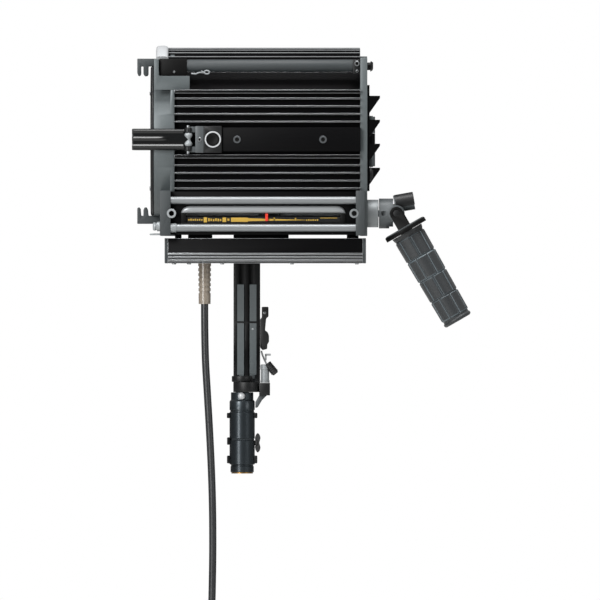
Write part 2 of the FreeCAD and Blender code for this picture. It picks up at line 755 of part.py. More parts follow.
# Strain relief: a ribbed sleeve under a gland, with a ring near its end

relief_outline = [(0, 0), (0, lead.relief_top)]
for count in range(6):
    top = -(lead.pitch * (count + 1))
    reach = lead.relief_top + (lead.relief_end - lead.relief_top) * (count + 1) / 8
    land_end = top + lead.pitch - lead.land
    relief_outline += [(land_end, reach), (land_end, reach - lead.groove), (top, reach - lead.groove),
                       (top, reach)]
relief_outline += [(-lead.relief_length, lead.relief_end), (-lead.relief_length, 0)]
node("strain_relief", spin("z", relief_outline, lead.x_place, lead.y_place, base_floor))

# Focus screw, carriage, rails, lamp and reflector

drive_sizes = {
    "front": -80.0, "radius": 4.0, "rail_inset": 7.0, "rail_lift": 12.0, "rail_radius": 3.0,
    "car_front": 14.0, "car_rear": 62.0, "car_gap": 3.5, "car_low": 5.5, "car_high": 18.5,
    "arm_front": 22.0, "arm_rear": 44.0, "arm_low": 5.0, "arm_high": 5.0, "nut_half": 11.0,
    "nut_front": 20.0, "nut_rear": 46.0}
drive = Group("drive", drive_sizes)
lamp_sizes = {
    "x_place": 38.0, "radius": 9.0, "base_drop": 28.0, "holder": 13.0, "holder_low": 48.0,
    "post": 11.0, "filament": 7.0, "dome": 16.0, "pin": 1.2, "wall": 1.0}
lamp = Group("lamp", lamp_sizes)
mirror_sizes = {"radius": 33.0, "wall": 1.2, "opening": 27.0, "arm_half": 8.0, "arm": 2.5}
mirror = Group("mirror", mirror_sizes)

rail_height = keel_z + drive.rail_lift
car_half = keel_half - shell.wall - drive.car_gap
car_rail_y = car_half - drive.rail_inset
rails = []
for side in (-1, 1):
    rails.append(rod("x", (side * car_rail_y, rail_height), drive.rail_radius, shell.front, shell.rear))
node("guide_rails", group(*rails))
car = box((drive.car_front, drive.car_rear), (-car_half, car_half),
          (keel_z + drive.car_low, keel_z + drive.car_high))
rail_ways = [rod("x", (side * car_rail_y, rail_height), drive.rail_radius + gap.run,
                 drive.car_front - over, drive.car_rear + over) for side in (-1, 1)]
car_arm = box((drive.arm_front, drive.arm_rear), (screw_y + drive.nut_half, over - car_half),
              (screw_z - drive.arm_low, screw_z + drive.arm_high))
car_bridge = box((drive.arm_front, drive.arm_rear), (-car_half, -car_rail_y),
                 (keel_z + drive.car_high - over, screw_z + drive.arm_high))
nut = box((drive.nut_front, drive.nut_rear), (screw_y - drive.nut_half, screw_y + drive.nut_half),
          (screw_z - drive.nut_half, screw_z + drive.nut_half))
node("focus_nut", cut(nut, rod("x", (screw_y, screw_z), drive.radius + gap.face,
                               drive.nut_front - over, drive.nut_rear + over)))
stem_top = opening_z[1] - needle.lift
stem = box((needle.place - needle.thick / 2, needle.place + needle.thick / 2),
           (cover_outer - needle.lift, screw_y - drive.nut_half), (stem_top - needle.stem, stem_top))
tip = box((needle.place - needle.thick / 2, needle.place + needle.thick / 2),
          (cover_outer - needle.lift, cover_outer), (opening_z[0] + needle.tip, stem_top))
node("needle", fuse(stem, tip))

lamp_place = (lamp.x_place, middle)
holder_low = axis_z - lamp.holder_low
lamp_low = axis_z - lamp.base_drop
node("lamp_holder", rod("z", lamp_place, lamp.holder, holder_low, lamp_low))
envelope = fuse(rod("z", lamp_place, lamp.radius, lamp_low, axis_z + lamp.dome - lamp.radius),
                ball(lamp.x_place, middle, axis_z + lamp.dome - lamp.radius, lamp.radius))
hollow = rod("z", lamp_place, lamp.radius - lamp.wall, lamp_low + lamp.radius,
             axis_z + lamp.dome - lamp.radius)
filament = rod("z", lamp_place, lamp.pin, lamp_low + lamp.radius, axis_z + lamp.filament)
node("lamp", fuse(cut(envelope, hollow), filament))
bowl = cut(ball(lamp.x_place, middle, axis_z, mirror.radius + mirror.wall),
           ball(lamp.x_place, middle, axis_z, mirror.radius))
half = box((lamp.x_place + mirror.radius - mirror.opening / 2, lamp.x_place + 2 * mirror.radius),
           (-mirror.radius - over, mirror.radius + over),
           (axis_z - 2 * mirror.radius, axis_z + 2 * mirror.radius))
node("reflector", common(bowl, half))
mirror_back = lamp.x_place + mirror.radius + mirror.wall
car_top = keel_z + drive.car_high
post = rod("z", lamp_place, lamp.post, car_top - over, holder_low)
mirror_arm = box((mirror_back, mirror_back + mirror.arm), (-mirror.arm_half, mirror.arm_half),
                 (car_top - mirror.arm, axis_z + mirror.arm_half))
mirror_foot = box((drive.car_rear - over, mirror_back + mirror.arm), (-mirror.arm_half, mirror.arm_half),
                  (car_top - mirror.arm, car_top))
node("carriage", cut(fuse(car, car_arm, car_bridge, post, mirror_arm, mirror_foot), *rail_ways))

# Focus handle: sleeve, screw with its ball end, collar, pins, yoke and grip

sleeve_sizes = {"radius": 16.6, "length": 13.4}
sleeve = Group("sleeve", sleeve_sizes)
collar_sizes = {
    "front": 164.4, "rear": 181.4, "radius": 18.0, "cheek_inner": 14.0, "cheek_outer": 18.0,
    "cheek_half": 10.0, "grub": 3.0, "grub_depth": 3.5, "grub_place": 5.6, "knuckle": 10.4,
    "knuckle_start": 183.0, "knuckle_end": 206.6, "knuckle_lift": 11.2, "knuckle_angle": 10.0,
    "knuckle_room": 10.6}
collar = Group("collar", collar_sizes)
pivot_sizes = {"x_place": 185.3, "ball": 6.0, "neck": 3.0, "pin": 4.0}
pivot = Group("pivot", pivot_sizes)
grip_sizes = {
    "drop_angle": 60.0, "flange_start": 20.0, "flange_thick": 5.0, "flange": 27.0, "core": 8.0,
    "cup_bore": 6.3, "cup_start": 4.2, "cup_depth": 4.0, "start": 25.3, "end": 149.0,
    "wide": 19.0, "narrow": 17.9, "skin": 1.2, "collar": 19.6, "collar_length": 5.0, "bead": 20.2,
    "bead_length": 6.0, "tube": 12.0, "groove": 2.2, "row_gap": 2.0}
grip = Group("grip", grip_sizes)
fork_sizes = {"thick": 4.0, "half": 8.0}
fork = Group("fork", fork_sizes)

screw_place = (screw_y, screw_z)
sleeve_rear = back.face + sleeve.length
sleeve_way = rod("x", screw_place, drive.radius + gap.run, back.face - over, sleeve_rear + over)
node("focus_sleeve", cut(rod("x", screw_place, sleeve.radius, back.face, sleeve_rear), sleeve_way))
node("lead_screw", fuse(
    rod("x", screw_place, drive.radius, drive.front, collar.front + over),
    rod("x", screw_place, pivot.neck, collar.front, pivot.x_place),
    ball(pivot.x_place, screw_y, screw_z, pivot.ball)))

collar_solid = rod("x", screw_place, collar.radius, sleeve_rear + gap.loose, collar.rear)
cheeks = []
pins = []
for side in (-1, 1):
    inner = screw_y + side * collar.cheek_inner
    outer = screw_y + side * collar.cheek_outer
    low, high = sorted((inner, outer), key=lambda size: size.value)
    cheeks.append(rod("y", (pivot.x_place, screw_z), collar.cheek_half, low, high))
    cheeks.append(box((collar.rear - over, pivot.x_place), (low, high),
                      (screw_z - collar.cheek_half, screw_z + collar.cheek_half)))
    far_end = screw_y + side * (collar.cheek_outer + gap.face + fork.thick)
    low, high = sorted((inner, far_end), key=lambda size: size.value)
    pins.append(rod("y", (pivot.x_place, screw_z), pivot.pin, low, high))
collar_way = rod("x", screw_place, pivot.ball + gap.loose, back.face, collar.rear + over)
pin_hole = rod("y", (pivot.x_place, screw_z), pivot.pin, screw_y - collar.radius - over,
               screw_y + collar.radius + over)
grub_way = rod("y", (collar.front + collar.grub_place, screw_z), collar.grub,
               screw_y - collar.radius - over, screw_y - collar.radius + collar.grub_depth)
cup_room = ball(pivot.x_place, screw_y, screw_z, root(grip.cup_start * grip.cup_start
                                                      + grip.core * grip.core) + gap.loose)
swing_room = box((pivot.x_place - grip.core - gap.loose, collar.rear + over),
                 (screw_y - grip.core - gap.loose, screw_y + grip.core + gap.loose),
                 (screw_z - collar.radius - over, screw_z))
tilted_barrel = rod("z", (collar.knuckle_start, screw_y), collar.knuckle, screw_z + collar.knuckle_lift,
                    screw_z + collar.knuckle_lift + collar.knuckle_end - collar.knuckle_start)
turn(tilted_barrel, (0, 1, 0), 90 - collar.knuckle_angle)
bridge = box((collar.rear - over, collar.knuckle_start + collar.knuckle),
             (screw_y - collar.knuckle / 2, screw_y + collar.knuckle / 2),
             (screw_z + collar.knuckle_lift - collar.knuckle / 2, screw_z + collar.knuckle_lift))
knuckle_room = ball(pivot.x_place, screw_y, screw_z, collar.knuckle_room)
collar_body = cut(fuse(collar_solid, *cheeks), collar_way, pin_hole, grub_way, cup_room, swing_room)
node("handle_collar", fuse(collar_body, cut(fuse(tilted_barrel, bridge), knuckle_room)))
node("handle_pins", group(*pins))

swing = grip.drop_angle + 90


def at_grip(item):
    """Puts a piece made along Z at the pivot, along the grip's axis."""
    move(item, pivot.x_place, screw_y, screw_z)
    return turn(item, (0, 1, 0), swing)


core_outline = [
    (grip.cup_start, grip.cup_bore), (grip.cup_start, grip.core),
    (grip.flange_start + grip.flange_thick + gap.face, grip.core),
    (grip.flange_start + grip.flange_thick + gap.face, grip.tube),
    (grip.end - over, grip.tube), (grip.end - over, 0), (grip.cup_start + grip.cup_depth, 0),
    (grip.cup_start + grip.cup_depth, grip.cup_bore)]
node("grip_core", turn(spin("z", core_outline, pivot.x_place, screw_y, screw_z), (0, 1, 0), swing))

rows_start = grip.start + grip.collar_length
row_length = (grip.end - grip.bead_length - rows_start) / 4
rows = [cone("z", (middle, middle), grip.wide - grip.skin, grip.narrow - grip.skin, grip.start, grip.end)]
rows.append(rod("z", (middle, middle), grip.bead, grip.end - grip.bead_length, grip.end))
rows.append(rod("z", (middle, middle), grip.collar, grip.start, rows_start))
for count in range(4):
    low = rows_start + row_length * count + grip.row_gap / 2
    reach = grip.wide + (grip.narrow - grip.wide) * count / 3
    pads = rod("z", (middle, middle), reach, low, low + row_length - grip.row_gap)
    furrows = []
    for step in range(4):
        angle = as_size(45 * step + 22.5 * (count % 2))
        furrow = box((-grip.bead, grip.bead), (-grip.groove / 2, grip.groove / 2),
                     (low - over, low + row_length))
        move(furrow, grip.groove / 2 * sine(angle) - grip.bead * cosine(angle),
             -grip.bead * sine(angle) - grip.groove / 2 * cosine(angle), low - over)
        furrows.append(turn(furrow, (0, 0, 1), angle))
    rows.append(cut(pads, *furrows))
sleeve_hole = rod("z", (middle, middle), grip.tube, grip.start - over, grip.end - over)
node("grip_rubber", at_grip(cut(fuse(*rows), sleeve_hole)))

# The yoke of the handle: a flange square to the grip and two ears outside the collar's
flange = rod("z", (middle, middle), grip.flange, grip.flange_start, grip.flange_start + grip.flange_thick)
ears = []
for side in (-1, 1):
    inner = side * (collar.cheek_outer + gap.face)
    outer = inner + side * fork.thick
    low, high = sorted((inner, outer), key=lambda size: size.value)
    ears.append(rod("y", (middle, middle), fork.half, low, high))
    ears.append(box((-fork.half, fork.half), (low, high), (middle, grip.flange_start + over)))
core_way = rod("z", (middle, middle), grip.core + gap.run, -grip.start, grip.start + over)
ear_way = rod("y", (middle, middle), pivot.pin + gap.run, -grip.flange, grip.flange)
node("handle_yoke", at_grip(cut(fuse(flange, *ears), core_way, ear_way)))

# Tilt pivot, one-armed yoke and its levers

yoke_sizes = {
    "thick": 12.0, "half": 16.1, "bend_z": 182.0, "bend_outer": 84.0, "rib": 4.2,
    "channel": 7.3, "channel_depth": 5.0, "channel_drop": 24.0, "seam": 1.2, "block_width": 12.0,
    "block_half": 9.0, "block_drop": 4.0}
yoke = Group("yoke", yoke_sizes)
hub_sizes = {"radius": 22.0, "length": 15.0, "bolt": 5.0, "bolt_reach": 16.0}
hub = Group("hub", hub_sizes)
knob_sizes = {"radius": 24.0, "neck": 13.0, "neck_length": 6.0, "length": 20.0,
                           "flute": 5.0}
knob = Group("tilt_knob", knob_sizes)

tilt_x = lamp_axis.tilt_place
hub_face = side_y + rail.thick
yoke_inner = hub_face + hub.length
yoke_outer = yoke_inner + yoke.thick
bolt_end = yoke_outer + hub.bolt_reach
arm_x = (tilt_x - yoke.half, tilt_x + yoke.half)
hub_outline = [
    (hub_face, 0), (hub_face, hub.radius), (yoke_inner - gap.face, hub.radius),
    (yoke_inner - gap.face, hub.bolt), (bolt_end, hub.bolt), (bolt_end, 0)]
node("pivot_hub", spin("y", hub_outline, tilt_x, 0, axis_z))

bend_y = yoke_outer - yoke.bend_outer
bend_inner = yoke.bend_outer - yoke.thick
foot_low = yoke.bend_z - yoke.bend_outer
foot_high = yoke.bend_z - bend_inner
quadrant = box((arm_x[0] - over, arm_x[1] + over), (bend_y, yoke_outer), (foot_low, yoke.bend_z))
bend = common(cut(rod("x", (bend_y, yoke.bend_z), yoke.bend_outer, *arm_x),
                  rod("x", (bend_y, yoke.bend_z), bend_inner, *arm_x)), quadrant)
arm_solid = fuse(
    box(arm_x, (yoke_inner, yoke_outer), (yoke.bend_z, axis_z)),
    rod("y", (tilt_x, axis_z), yoke.half, yoke_inner, yoke_outer),
    bend,
    box(arm_x, (middle, bend_y), (foot_low, foot_high)),
    rod("z", (tilt_x, middle), yoke.half, foot_low, foot_high),
    box((tilt_x + yoke.half - over, tilt_x + yoke.half + yoke.block_width),
        (-yoke.block_half, yoke.block_half), (foot_low - yoke.block_drop, foot_high - over)))
channels = []
for side in (-1, 1):
    near_edge = tilt_x + side * yoke.rib / 2
    edges = sorted((near_edge, near_edge + side * yoke.channel), key=lambda size: size.value)
    deep = bend_inner + yoke.channel_depth
    channels.append(box(edges, (yoke_inner - over, yoke_inner + yoke.channel_depth),
                        (yoke.bend_z + yoke.seam, axis_z - yoke.channel_drop)))
    curved = cut(rod("x", (bend_y, yoke.bend_z), deep, *edges),
                 rod("x", (bend_y, yoke.bend_z), bend_inner - over, *edges))
    channels.append(common(curved, box((edges[0] - over, edges[1] + over), (bend_y, yoke_outer),
                                       (foot_low, yoke.bend_z - yoke.seam))))

socket_sizes = {
    "bore": 8.05, "bore_depth": 60.0, "bush": 1.5, "bush_radius": 12.9, "lip": 9.8, "radius": 15.2,
    "groove": 14.4, "low_groove": 40.4, "groove_height": 1.6, "mid_groove": 64.3,
    "bump_low": 66.6, "bump_high": 73.2, "bump": 18.4, "neck_low": 76.3, "shoulder": 87.2,
    "neck": 13.5, "stud": 8.0, "nut": 12.5, "nut_height": 7.0, "lug_low": 12.0, "lug_high": 22.5,
    "lug": 3.2, "lug_half": 5.0, "wing_low": 25.0, "wing_high": 49.0, "wing_reach": 21.4,
    "wing_half": 4.0, "screw": 3.0}
socket = Group("socket", socket_sizes)

pan_way = rod("z", (middle, middle), socket.stud + gap.run, foot_low - over, foot_high + over)
bolt_way = rod("y", (tilt_x, axis_z), hub.bolt + gap.run, yoke_inner - over, yoke_outer + over)
node("yoke_arm", cut(arm_solid, pan_way, bolt_way, *channels))

knob_face = yoke_outer + gap.face
knob_end = knob_face + knob.length
tilt_knob = cut(
    spin("y", [(knob_face, 0), (knob_face, knob.neck), (knob_face + knob.neck_length, knob.neck),
               (knob_face + knob.neck_length, knob.radius), (knob_end, knob.radius), (knob_end, 0)],
         tilt_x, 0, axis_z),
    rod("y", (tilt_x, axis_z), hub.bolt + gap.run, yoke_outer, bolt_end + gap.face),
    *[rod("y", (tilt_x + (knob.radius + knob.flute / 2) * cosine(as_size(45 * step)),
                axis_z + (knob.radius + knob.flute / 2) * sine(as_size(45 * step))),
          knob.flute, knob_face + knob.neck_length - over, knob_end + over) for step in range(8)])
node("tilt_knob", tilt_knob)

stud_end = foot_high + gap.face + socket.nut_height
body_top = foot_low - gap.face
socket_outline = [
    (socket.bush, socket.bore), (socket.bush, socket.bush_radius), (socket.lip, socket.radius),
    (socket.low_groove, socket.radius), (socket.low_groove, socket.groove),
    (socket.low_groove + socket.groove_height, socket.groove),
    (socket.low_groove + socket.groove_height, socket.radius), (socket.mid_groove, socket.radius),
    (socket.mid_groove, socket.groove), (socket.bump_low, socket.groove), (socket.bump_low, socket.bump),
    (socket.bump_high, socket.bump), (socket.bump_high, socket.groove), (socket.neck_low, socket.groove),
    (socket.neck_low, socket.radius), (socket.shoulder, socket.radius),
    (socket.shoulder + socket.groove_height, socket.neck), (body_top, socket.neck),
    (body_top, socket.stud), (stud_end, socket.stud), (stud_end, 0), (socket.bore_depth, 0),
    (socket.bore_depth, socket.bore)]
lug_reach = socket.radius + socket.lug
lugs = box((-lug_reach, lug_reach), (-socket.lug_half, socket.lug_half), (socket.lug_low, socket.lug_high))
socket_solid = fuse(spin("z", socket_outline, 0, 0, 0),
                    cut(lugs, rod("z", (middle, middle), socket.groove, socket.bush, socket.low_groove)))
wing_z = (socket.wing_low + socket.wing_high) / 2
lock_way = rod("x", (middle, wing_z), socket.screw + gap.run, socket.bore, socket.radius + over)
node("spigot_socket", cut(socket_solid, lock_way))
bush_outline = [(0, socket.bore), (0, socket.bush_radius), (socket.bush, socket.bush_radius),
                (socket.bush, socket.bore)]
node("socket_bush", spin("z", bush_outline, 0, 0, 0))
wing_start = socket.radius + gap.face
node("socket_lock", fuse(
    rod("x", (middle, wing_z), socket.screw, socket.bore + over, wing_start + over),
    box((wing_start, socket.wing_reach), (-socket.wing_half, socket.wing_half),
        (socket.wing_low, socket.wing_high))))
node("pan_nut", cut(rod("z", (middle, middle), socket.nut, foot_high + gap.face, stud_end),
                    rod("z", (middle, middle), socket.stud, foot_high, stud_end + over)))

lever_sizes = {
    "inset": 8.6, "place_z": 162.0, "hub": 7.0, "hub_width": 9.6, "stem": 2.6, "stem_width": 5.0,
    "square": 6.2, "top": 37.7, "square_low": 25.3, "lobe": 12.5}
lever = Group("lever", lever_sizes)
lever_y = yoke_outer - lever.inset
side_x = tilt_x + yoke.half + gap.face
lever_end = side_x + lever.hub_width
stem_x = (side_x + lever.stem, side_x + lever.stem + lever.stem_width)
node("arm_lever", fuse(
    rod("x", (lever_y, lever.place_z), lever.hub, side_x, lever_end),
    box(stem_x, (lever_y - lever.stem, lever_y + lever.stem),
        (lever.place_z - lever.lobe, lever.place_z + lever.square_low + over)),
    box((side_x, lever_end), (lever_y - lever.square, lever_y + lever.square),
        (lever.place_z + lever.square_low, lever.place_z + lever.top))))

pan_sizes = {
    "radius": 5.4, "height": 22.0, "arm_low": 12.0, "arm_high": 18.0, "arm_half": 3.0,
    "knob_start": 4.5, "knob_length": 8.5, "knob": 8.4}
pan = Group("pan_lock", pan_sizes)
pan_x = tilt_x + yoke.half + yoke.block_width / 2
pan_low = foot_high - over + gap.face
knob_z = pan_low + (pan.arm_low + pan.arm_high) / 2
knob_x = pan_x + pan.radius + pan.knob_start
node("pan_lock", fuse(
    rod("z", (pan_x, middle), pan.radius, pan_low, pan_low + pan.height),
    box((pan_x, knob_x + over), (-pan.arm_half, pan.arm_half),
        (pan_low + pan.arm_low, pan_low + pan.arm_high)),
    rod("x", (middle, knob_z), pan.knob, knob_x, knob_x + pan.knob_length)))

# Mains lead: a hanging stretch, then a tied coil that ends in a round plug

loops_sizes = {
    "lead_in": 8.8, "first_radius": 60.0, "strand_gap": 0.8, "tail": 75.0, "tie_half": 6.0,
    "tie_wall": 1.6, "tie_gap": 0.6, "half_turns_in": 5.0}
loops = Group("coil", loops_sizes)
plug_sizes = {
    "radius": 19.0, "length": 50.0, "neck": 8.0, "neck_length": 12.0, "pin": 2.4, "pin_length": 19.0,
    "pin_half_space": 9.5}
plug = Group("plug", plug_sizes)

relief_end_z = base_floor - lead.relief_length
hanging_points = [
    (-45.0, -45.0, 150.0), (-41.6, -45.7, 95.0), (-38.3, -46.2, 38.0), (-35.8, -46.0, -20.0),
    (-35.0, -45.5, -78.0), (-35.7, -45.1, -134.0), (-37.0, -45.0, -180.0), (-37.0, -45.0, -222.0)]
ARC_SHARE = 0.45


def tube_wire(points):
    """Straight runs joined by tangent arcs, each arc as large as its two runs allow."""
    edges = []
    here = points[0]
    for index in range(1, len(points) - 1):
        corner = points[index]
        before = corner - points[index - 1]
        after = points[index + 1] - corner
        reach = ARC_SHARE * min(before.Length, after.Length)
        half_turn = before.getAngle(after) / 2
        into = before.normalize()
        out = after.normalize()
        start = corner - into * reach
        end = corner + out * reach
        radius = reach / math.tan(half_turn)
        toward = (out - into).normalize()
        centre = corner + toward * math.hypot(radius, reach)
        print("cord bend %d radius %.0f mm" % (index, radius))
        edges.append(Part.LineSegment(here, start).toShape())
        edges.append(Part.Arc(start, centre - toward * radius, end).toShape())
        here = end
    edges.append(Part.LineSegment(here, points[-1]).toShape())
    return Part.Wire(edges)


def swept(wire, start, direction):
    """A round cord along a wire, with its volume compared with its section and length."""
    section = Part.Wire([Part.Circle(start, direction, lead.radius.value).toShape()])
    solid = wire.makePipeShell([section], True, False)
    expected = math.pi * lead.radius.value ** 2 * wire.Length
    print("cord length %.0f mm, volume share %.4f" % (wire.Length, solid.Volume / expected))
    return solid


def feature(label, shape):
    made = document.addObject("Part::Feature", label)
    made.Shape = shape
    return node(label, made)


down = FreeCAD.Vector(0, 0, -1)
route = [FreeCAD.Vector(lead.x_place.value, lead.y_place.value, relief_end_z.value)]
route += [FreeCAD.Vector(*point) for point in hanging_points]
feature("cord_tube", swept(tube_wire(route), route[0], down))

strand = 2 * lead.radius.value + loops.strand_gap.value
coil_start = route[-1]
corner = coil_start + down * loops.lead_in.value
coil_edges = [Part.LineSegment(coil_start, corner).toShape()]
radius = loops.first_radius.value
half_turns_in = int(loops.half_turns_in.value)
for count in range(2 * half_turns_in):
    side = 1 if count % 2 == 0 else -1
    climb = strand if count == half_turns_in else 0
    end = corner + FreeCAD.Vector(side * 2 * radius, -climb, 0)
    centre = (corner + end) / 2
    crest = centre - FreeCAD.Vector(0, 0, side * (end - corner).Length / 2)
    coil_edges.append(Part.Arc(corner, crest, end).toShape())
    corner = end
    radius += strand / 2 if count >= half_turns_in else -strand / 2
tail_end = corner + down * loops.tail.value
coil_edges.append(Part.LineSegment(corner, tail_end).toShape())
coil_wire = Part.Wire(coil_edges)
feature("cord_coil", swept(coil_wire, coil_start, down))

spots = []
travelled = 0.0
for edge in coil_wire.OrderedEdges:
    for spot in edge.discretize(Distance=lead.radius.value)[:-1]:
        spots.append((travelled, spot))
        travelled += lead.radius.value
least = min(
    first[1].distanceToPoint(second[1]) for first in spots for second in spots
    if second[0] - first[0] > 6 * lead.radius.value) - 2 * lead.radius.value
print("coil least gap to itself %.2f mm" % least)

tie_x = coil_start.x
tie_y = coil_start.y
tie_z = coil_start.z - loops.lead_in.value
clear = lead.radius + loops.tie_gap
tie_span_x = (tie_x - clear, tie_x + 3 * strand + clear)
tie_span_y = (tie_y - strand - clear, tie_y + clear)
tie_span_z = (tie_z - loops.tie_half, tie_z + loops.tie_half)
tie_outer = box((tie_span_x[0] - loops.tie_wall, tie_span_x[1] + loops.tie_wall),
                (tie_span_y[0] - loops.tie_wall, tie_span_y[1] + loops.tie_wall), tie_span_z)
tie_inner = box(tie_span_x, tie_span_y, (tie_span_z[0] - over, tie_span_z[1] + over))
node("cord_tie", cut(tie_outer, tie_inner))

plug_top = tail_end.z
plug_low = plug_top - plug.length
plug_outline = [
    (plug_top, 0), (plug_top, plug.neck), (plug_top - plug.neck_length, plug.neck),
    (plug_top - plug.neck_length - plug.neck, plug.radius), (plug_low, plug.radius), (plug_low, 0)]
node("plug_body", spin("z", plug_outline, tail_end.x, tail_end.y, 0))
prongs = []
for side in (-1, 1):
    prongs.append(rod("z", (tail_end.x, tail_end.y + side * plug.pin_half_space), plug.pin,
                      plug_low - plug.pin_length, plug_low))
node("plug_pins", group(*prongs))


# Checks and files

document.recompute()
faults = []
for item in document.Objects:
    if "Invalid" in item.State or "Error" in item.State:
        faults.append("%s %s" % (item.Name, item.Label))
for item in nodes:
    if item.Shape.isNull() or not item.Shape.isValid():
        faults.append("shape of %s" % item.Label)
if faults:
    raise RuntimeError("failed: " + ", ".join(faults))
os.makedirs("parts", exist_ok=True)
for item in nodes:
    item.Shape.exportStep("parts/%s.step" % item.Label)
print("%d nodes" % len(nodes))
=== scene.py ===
import json
import logging
import math
from dataclasses import dataclass
from enum import Enum

import bmesh
import bpy
from mathutils import Matrix, Vector


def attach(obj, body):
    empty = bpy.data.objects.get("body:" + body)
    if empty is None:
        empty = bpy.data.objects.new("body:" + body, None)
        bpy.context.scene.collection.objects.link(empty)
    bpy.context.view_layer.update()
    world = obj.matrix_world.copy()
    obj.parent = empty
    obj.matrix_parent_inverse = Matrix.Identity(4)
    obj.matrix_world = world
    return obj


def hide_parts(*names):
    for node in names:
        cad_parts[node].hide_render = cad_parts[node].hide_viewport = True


LOG = logging.getLogger("spotlight")
MM = 0.001
SIDES = (-1, 1)
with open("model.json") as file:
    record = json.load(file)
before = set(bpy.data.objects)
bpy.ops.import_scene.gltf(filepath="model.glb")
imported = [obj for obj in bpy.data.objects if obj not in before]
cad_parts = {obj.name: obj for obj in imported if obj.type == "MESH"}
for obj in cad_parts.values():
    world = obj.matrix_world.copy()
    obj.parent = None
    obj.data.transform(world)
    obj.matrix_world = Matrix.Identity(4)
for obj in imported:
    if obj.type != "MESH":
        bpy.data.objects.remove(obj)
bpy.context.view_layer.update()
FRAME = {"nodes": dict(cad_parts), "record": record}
BODY_OF = {node: body for body, nodes in FRAME["record"]["behaviour"]["bodies"].items() for node in nodes}

Mesh = bmesh.types.BMesh
Verts = list[bmesh.types.BMVert]
Span = tuple[float, float]
Point = tuple[float, float, float]
Box = tuple[float, float, float, float]
Outline = list[Span]
Spans = tuple[Span, ...]


# Colours, nodes and finishes

def linear(code: str) -> Box:
    """Turn an sRGB hex colour into linear light.

    Args:
        code: six hex digits, red first.

    Returns:
        The colour with an alpha of one.
    """
    parts = [int(code[place:place + 2], 16) / 255 for place in (0, 2, 4)]
    turned = [part / 12.92 if part <= 0.04045 else ((part + 0.055) / 1.055) ** 2.4 for part in parts]
    return (turned[0], turned[1], turned[2], 1.0)


def add_node(tree: bpy.types.NodeTree, kind: str, settings: dict, links: dict) -> bpy.types.Node:
    """Add one shader node.

    Args:
        tree: the material's node tree.
        kind: the node's type name, without ShaderNode.
        settings: values of the node's properties, or of its input sockets by name or number.
        links: output sockets that feed its input sockets, by name or number.

    Returns:
        The new node.
    """
    node = tree.nodes.new("ShaderNode" + kind)
    for name, value in settings.items():
        if isinstance(name, str) and name not in node.inputs:
            setattr(node, name, value)
        else:
            node.inputs[name].default_value = value
    for name, socket in links.items():
        tree.links.new(socket, node.inputs[name])
    return node


class Pattern(Enum):
    """How a finish's colour and height vary over its surface."""

    GRAIN = "grain"
    BRUSHED = "brushed"
    PEBBLED = "pebbled"


DETAIL = {Pattern.GRAIN: 4.0, Pattern.BRUSHED: 2.0}
PATCH_DETAIL = 3.0
PATCH_MM = 45
GLOSS_FROM = (0.25, 0.75)
LEAST_ROUGH = 0.02
GRAIN_SHARE, PATCH_SHARE = 0.5, 0.6
BUMP_STRENGTH = 0.6
COAT_ROUGHNESS = 0.12


@dataclass(frozen=True)
class Finish:
    """A finish: what it is made of, how it was worked and what the eye sees of it."""

    name: str
    colour: str
    shade: str
    rough: float = 0.5
    spread: float = 0.08
    metal: float = 0.0
    pattern: Pattern = Pattern.GRAIN
    grain: float = 0.6
    height: float = 0.01
    coat: float = 0.0
    sheen: float = 0.0
    ior: float = 1.5
    specular: float = 0.5
    transmission: float = 0.0
    alpha: float = 1.0
    stretch: Point = (1.0, 1.0, 1.0)

    def material(self) -> bpy.types.Material:
        """Make the Blender material of this finish on first use.

        Returns:
            The material.
        """
        made = bpy.data.materials.get(self.name)
        if made is not None:
            return made
        made = bpy.data.materials.new(self.name)
        made.use_nodes = True
        tree = made.node_tree
        tree.nodes.clear()
        place = add_node(tree, "TexCoord", {}, {})
        mapping = add_node(tree, "Mapping", {"Scale": self.stretch}, {"Vector": place.outputs["Object"]})
        spot = {"Vector": mapping.outputs["Vector"]}
        scale = 1 / (self.grain * MM)
        if self.pattern is Pattern.PEBBLED:
            grain = add_node(tree, "TexVoronoi", {"feature": "SMOOTH_F1", "Scale": scale}, spot)
        else:
            grain = add_node(tree, "TexNoise", {"Scale": scale, "Detail": DETAIL[self.pattern]}, spot)
        level = grain.outputs[0]
        patches = add_node(tree, "TexNoise", {"Scale": 1 / (PATCH_MM * MM), "Detail": PATCH_DETAIL},
                           spot)
        blend = add_node(tree, "Math", {"operation": "MULTIPLY_ADD", 1: GRAIN_SHARE, 2: 0.0}, {0: level})
        both = add_node(tree, "Math", {"operation": "MULTIPLY_ADD", 1: PATCH_SHARE},
                        {0: patches.outputs["Fac"], 2: blend.outputs[0]})
        tint = add_node(tree, "Mix", {"data_type": "RGBA"}, {0: both.outputs[0]})
        tint.inputs[6].default_value = linear(self.colour)
        tint.inputs[7].default_value = linear(self.shade)
        gloss = add_node(tree, "MapRange", {"From Min": GLOSS_FROM[0], "From Max": GLOSS_FROM[1],
                                            "To Min": max(LEAST_ROUGH, self.rough - self.spread),
                                            "To Max": min(1.0, self.rough + self.spread)},
                         {"Value": both.outputs[0]})
        bump = add_node(tree, "Bump", {"Strength": BUMP_STRENGTH, "Distance": self.height * MM},
                        {"Height": level})
        settings = {"Metallic": self.metal, "Coat Weight": self.coat, "Coat Roughness": COAT_ROUGHNESS,
                    "Sheen Weight": self.sheen, "Transmission Weight": self.transmission,
                    "Alpha": self.alpha}
        if self.metal < 1:
            settings.update({"IOR": self.ior, "Specular IOR Level": self.specular})
        shader = add_node(tree, "BsdfPrincipled", settings,
                          {"Base Color": tint.outputs[2], "Roughness": gloss.outputs["Result"],
                           "Normal": bump.outputs["Normal"]})
        add_node(tree, "OutputMaterial", {}, {"Surface": shader.outputs["BSDF"]})
        return made


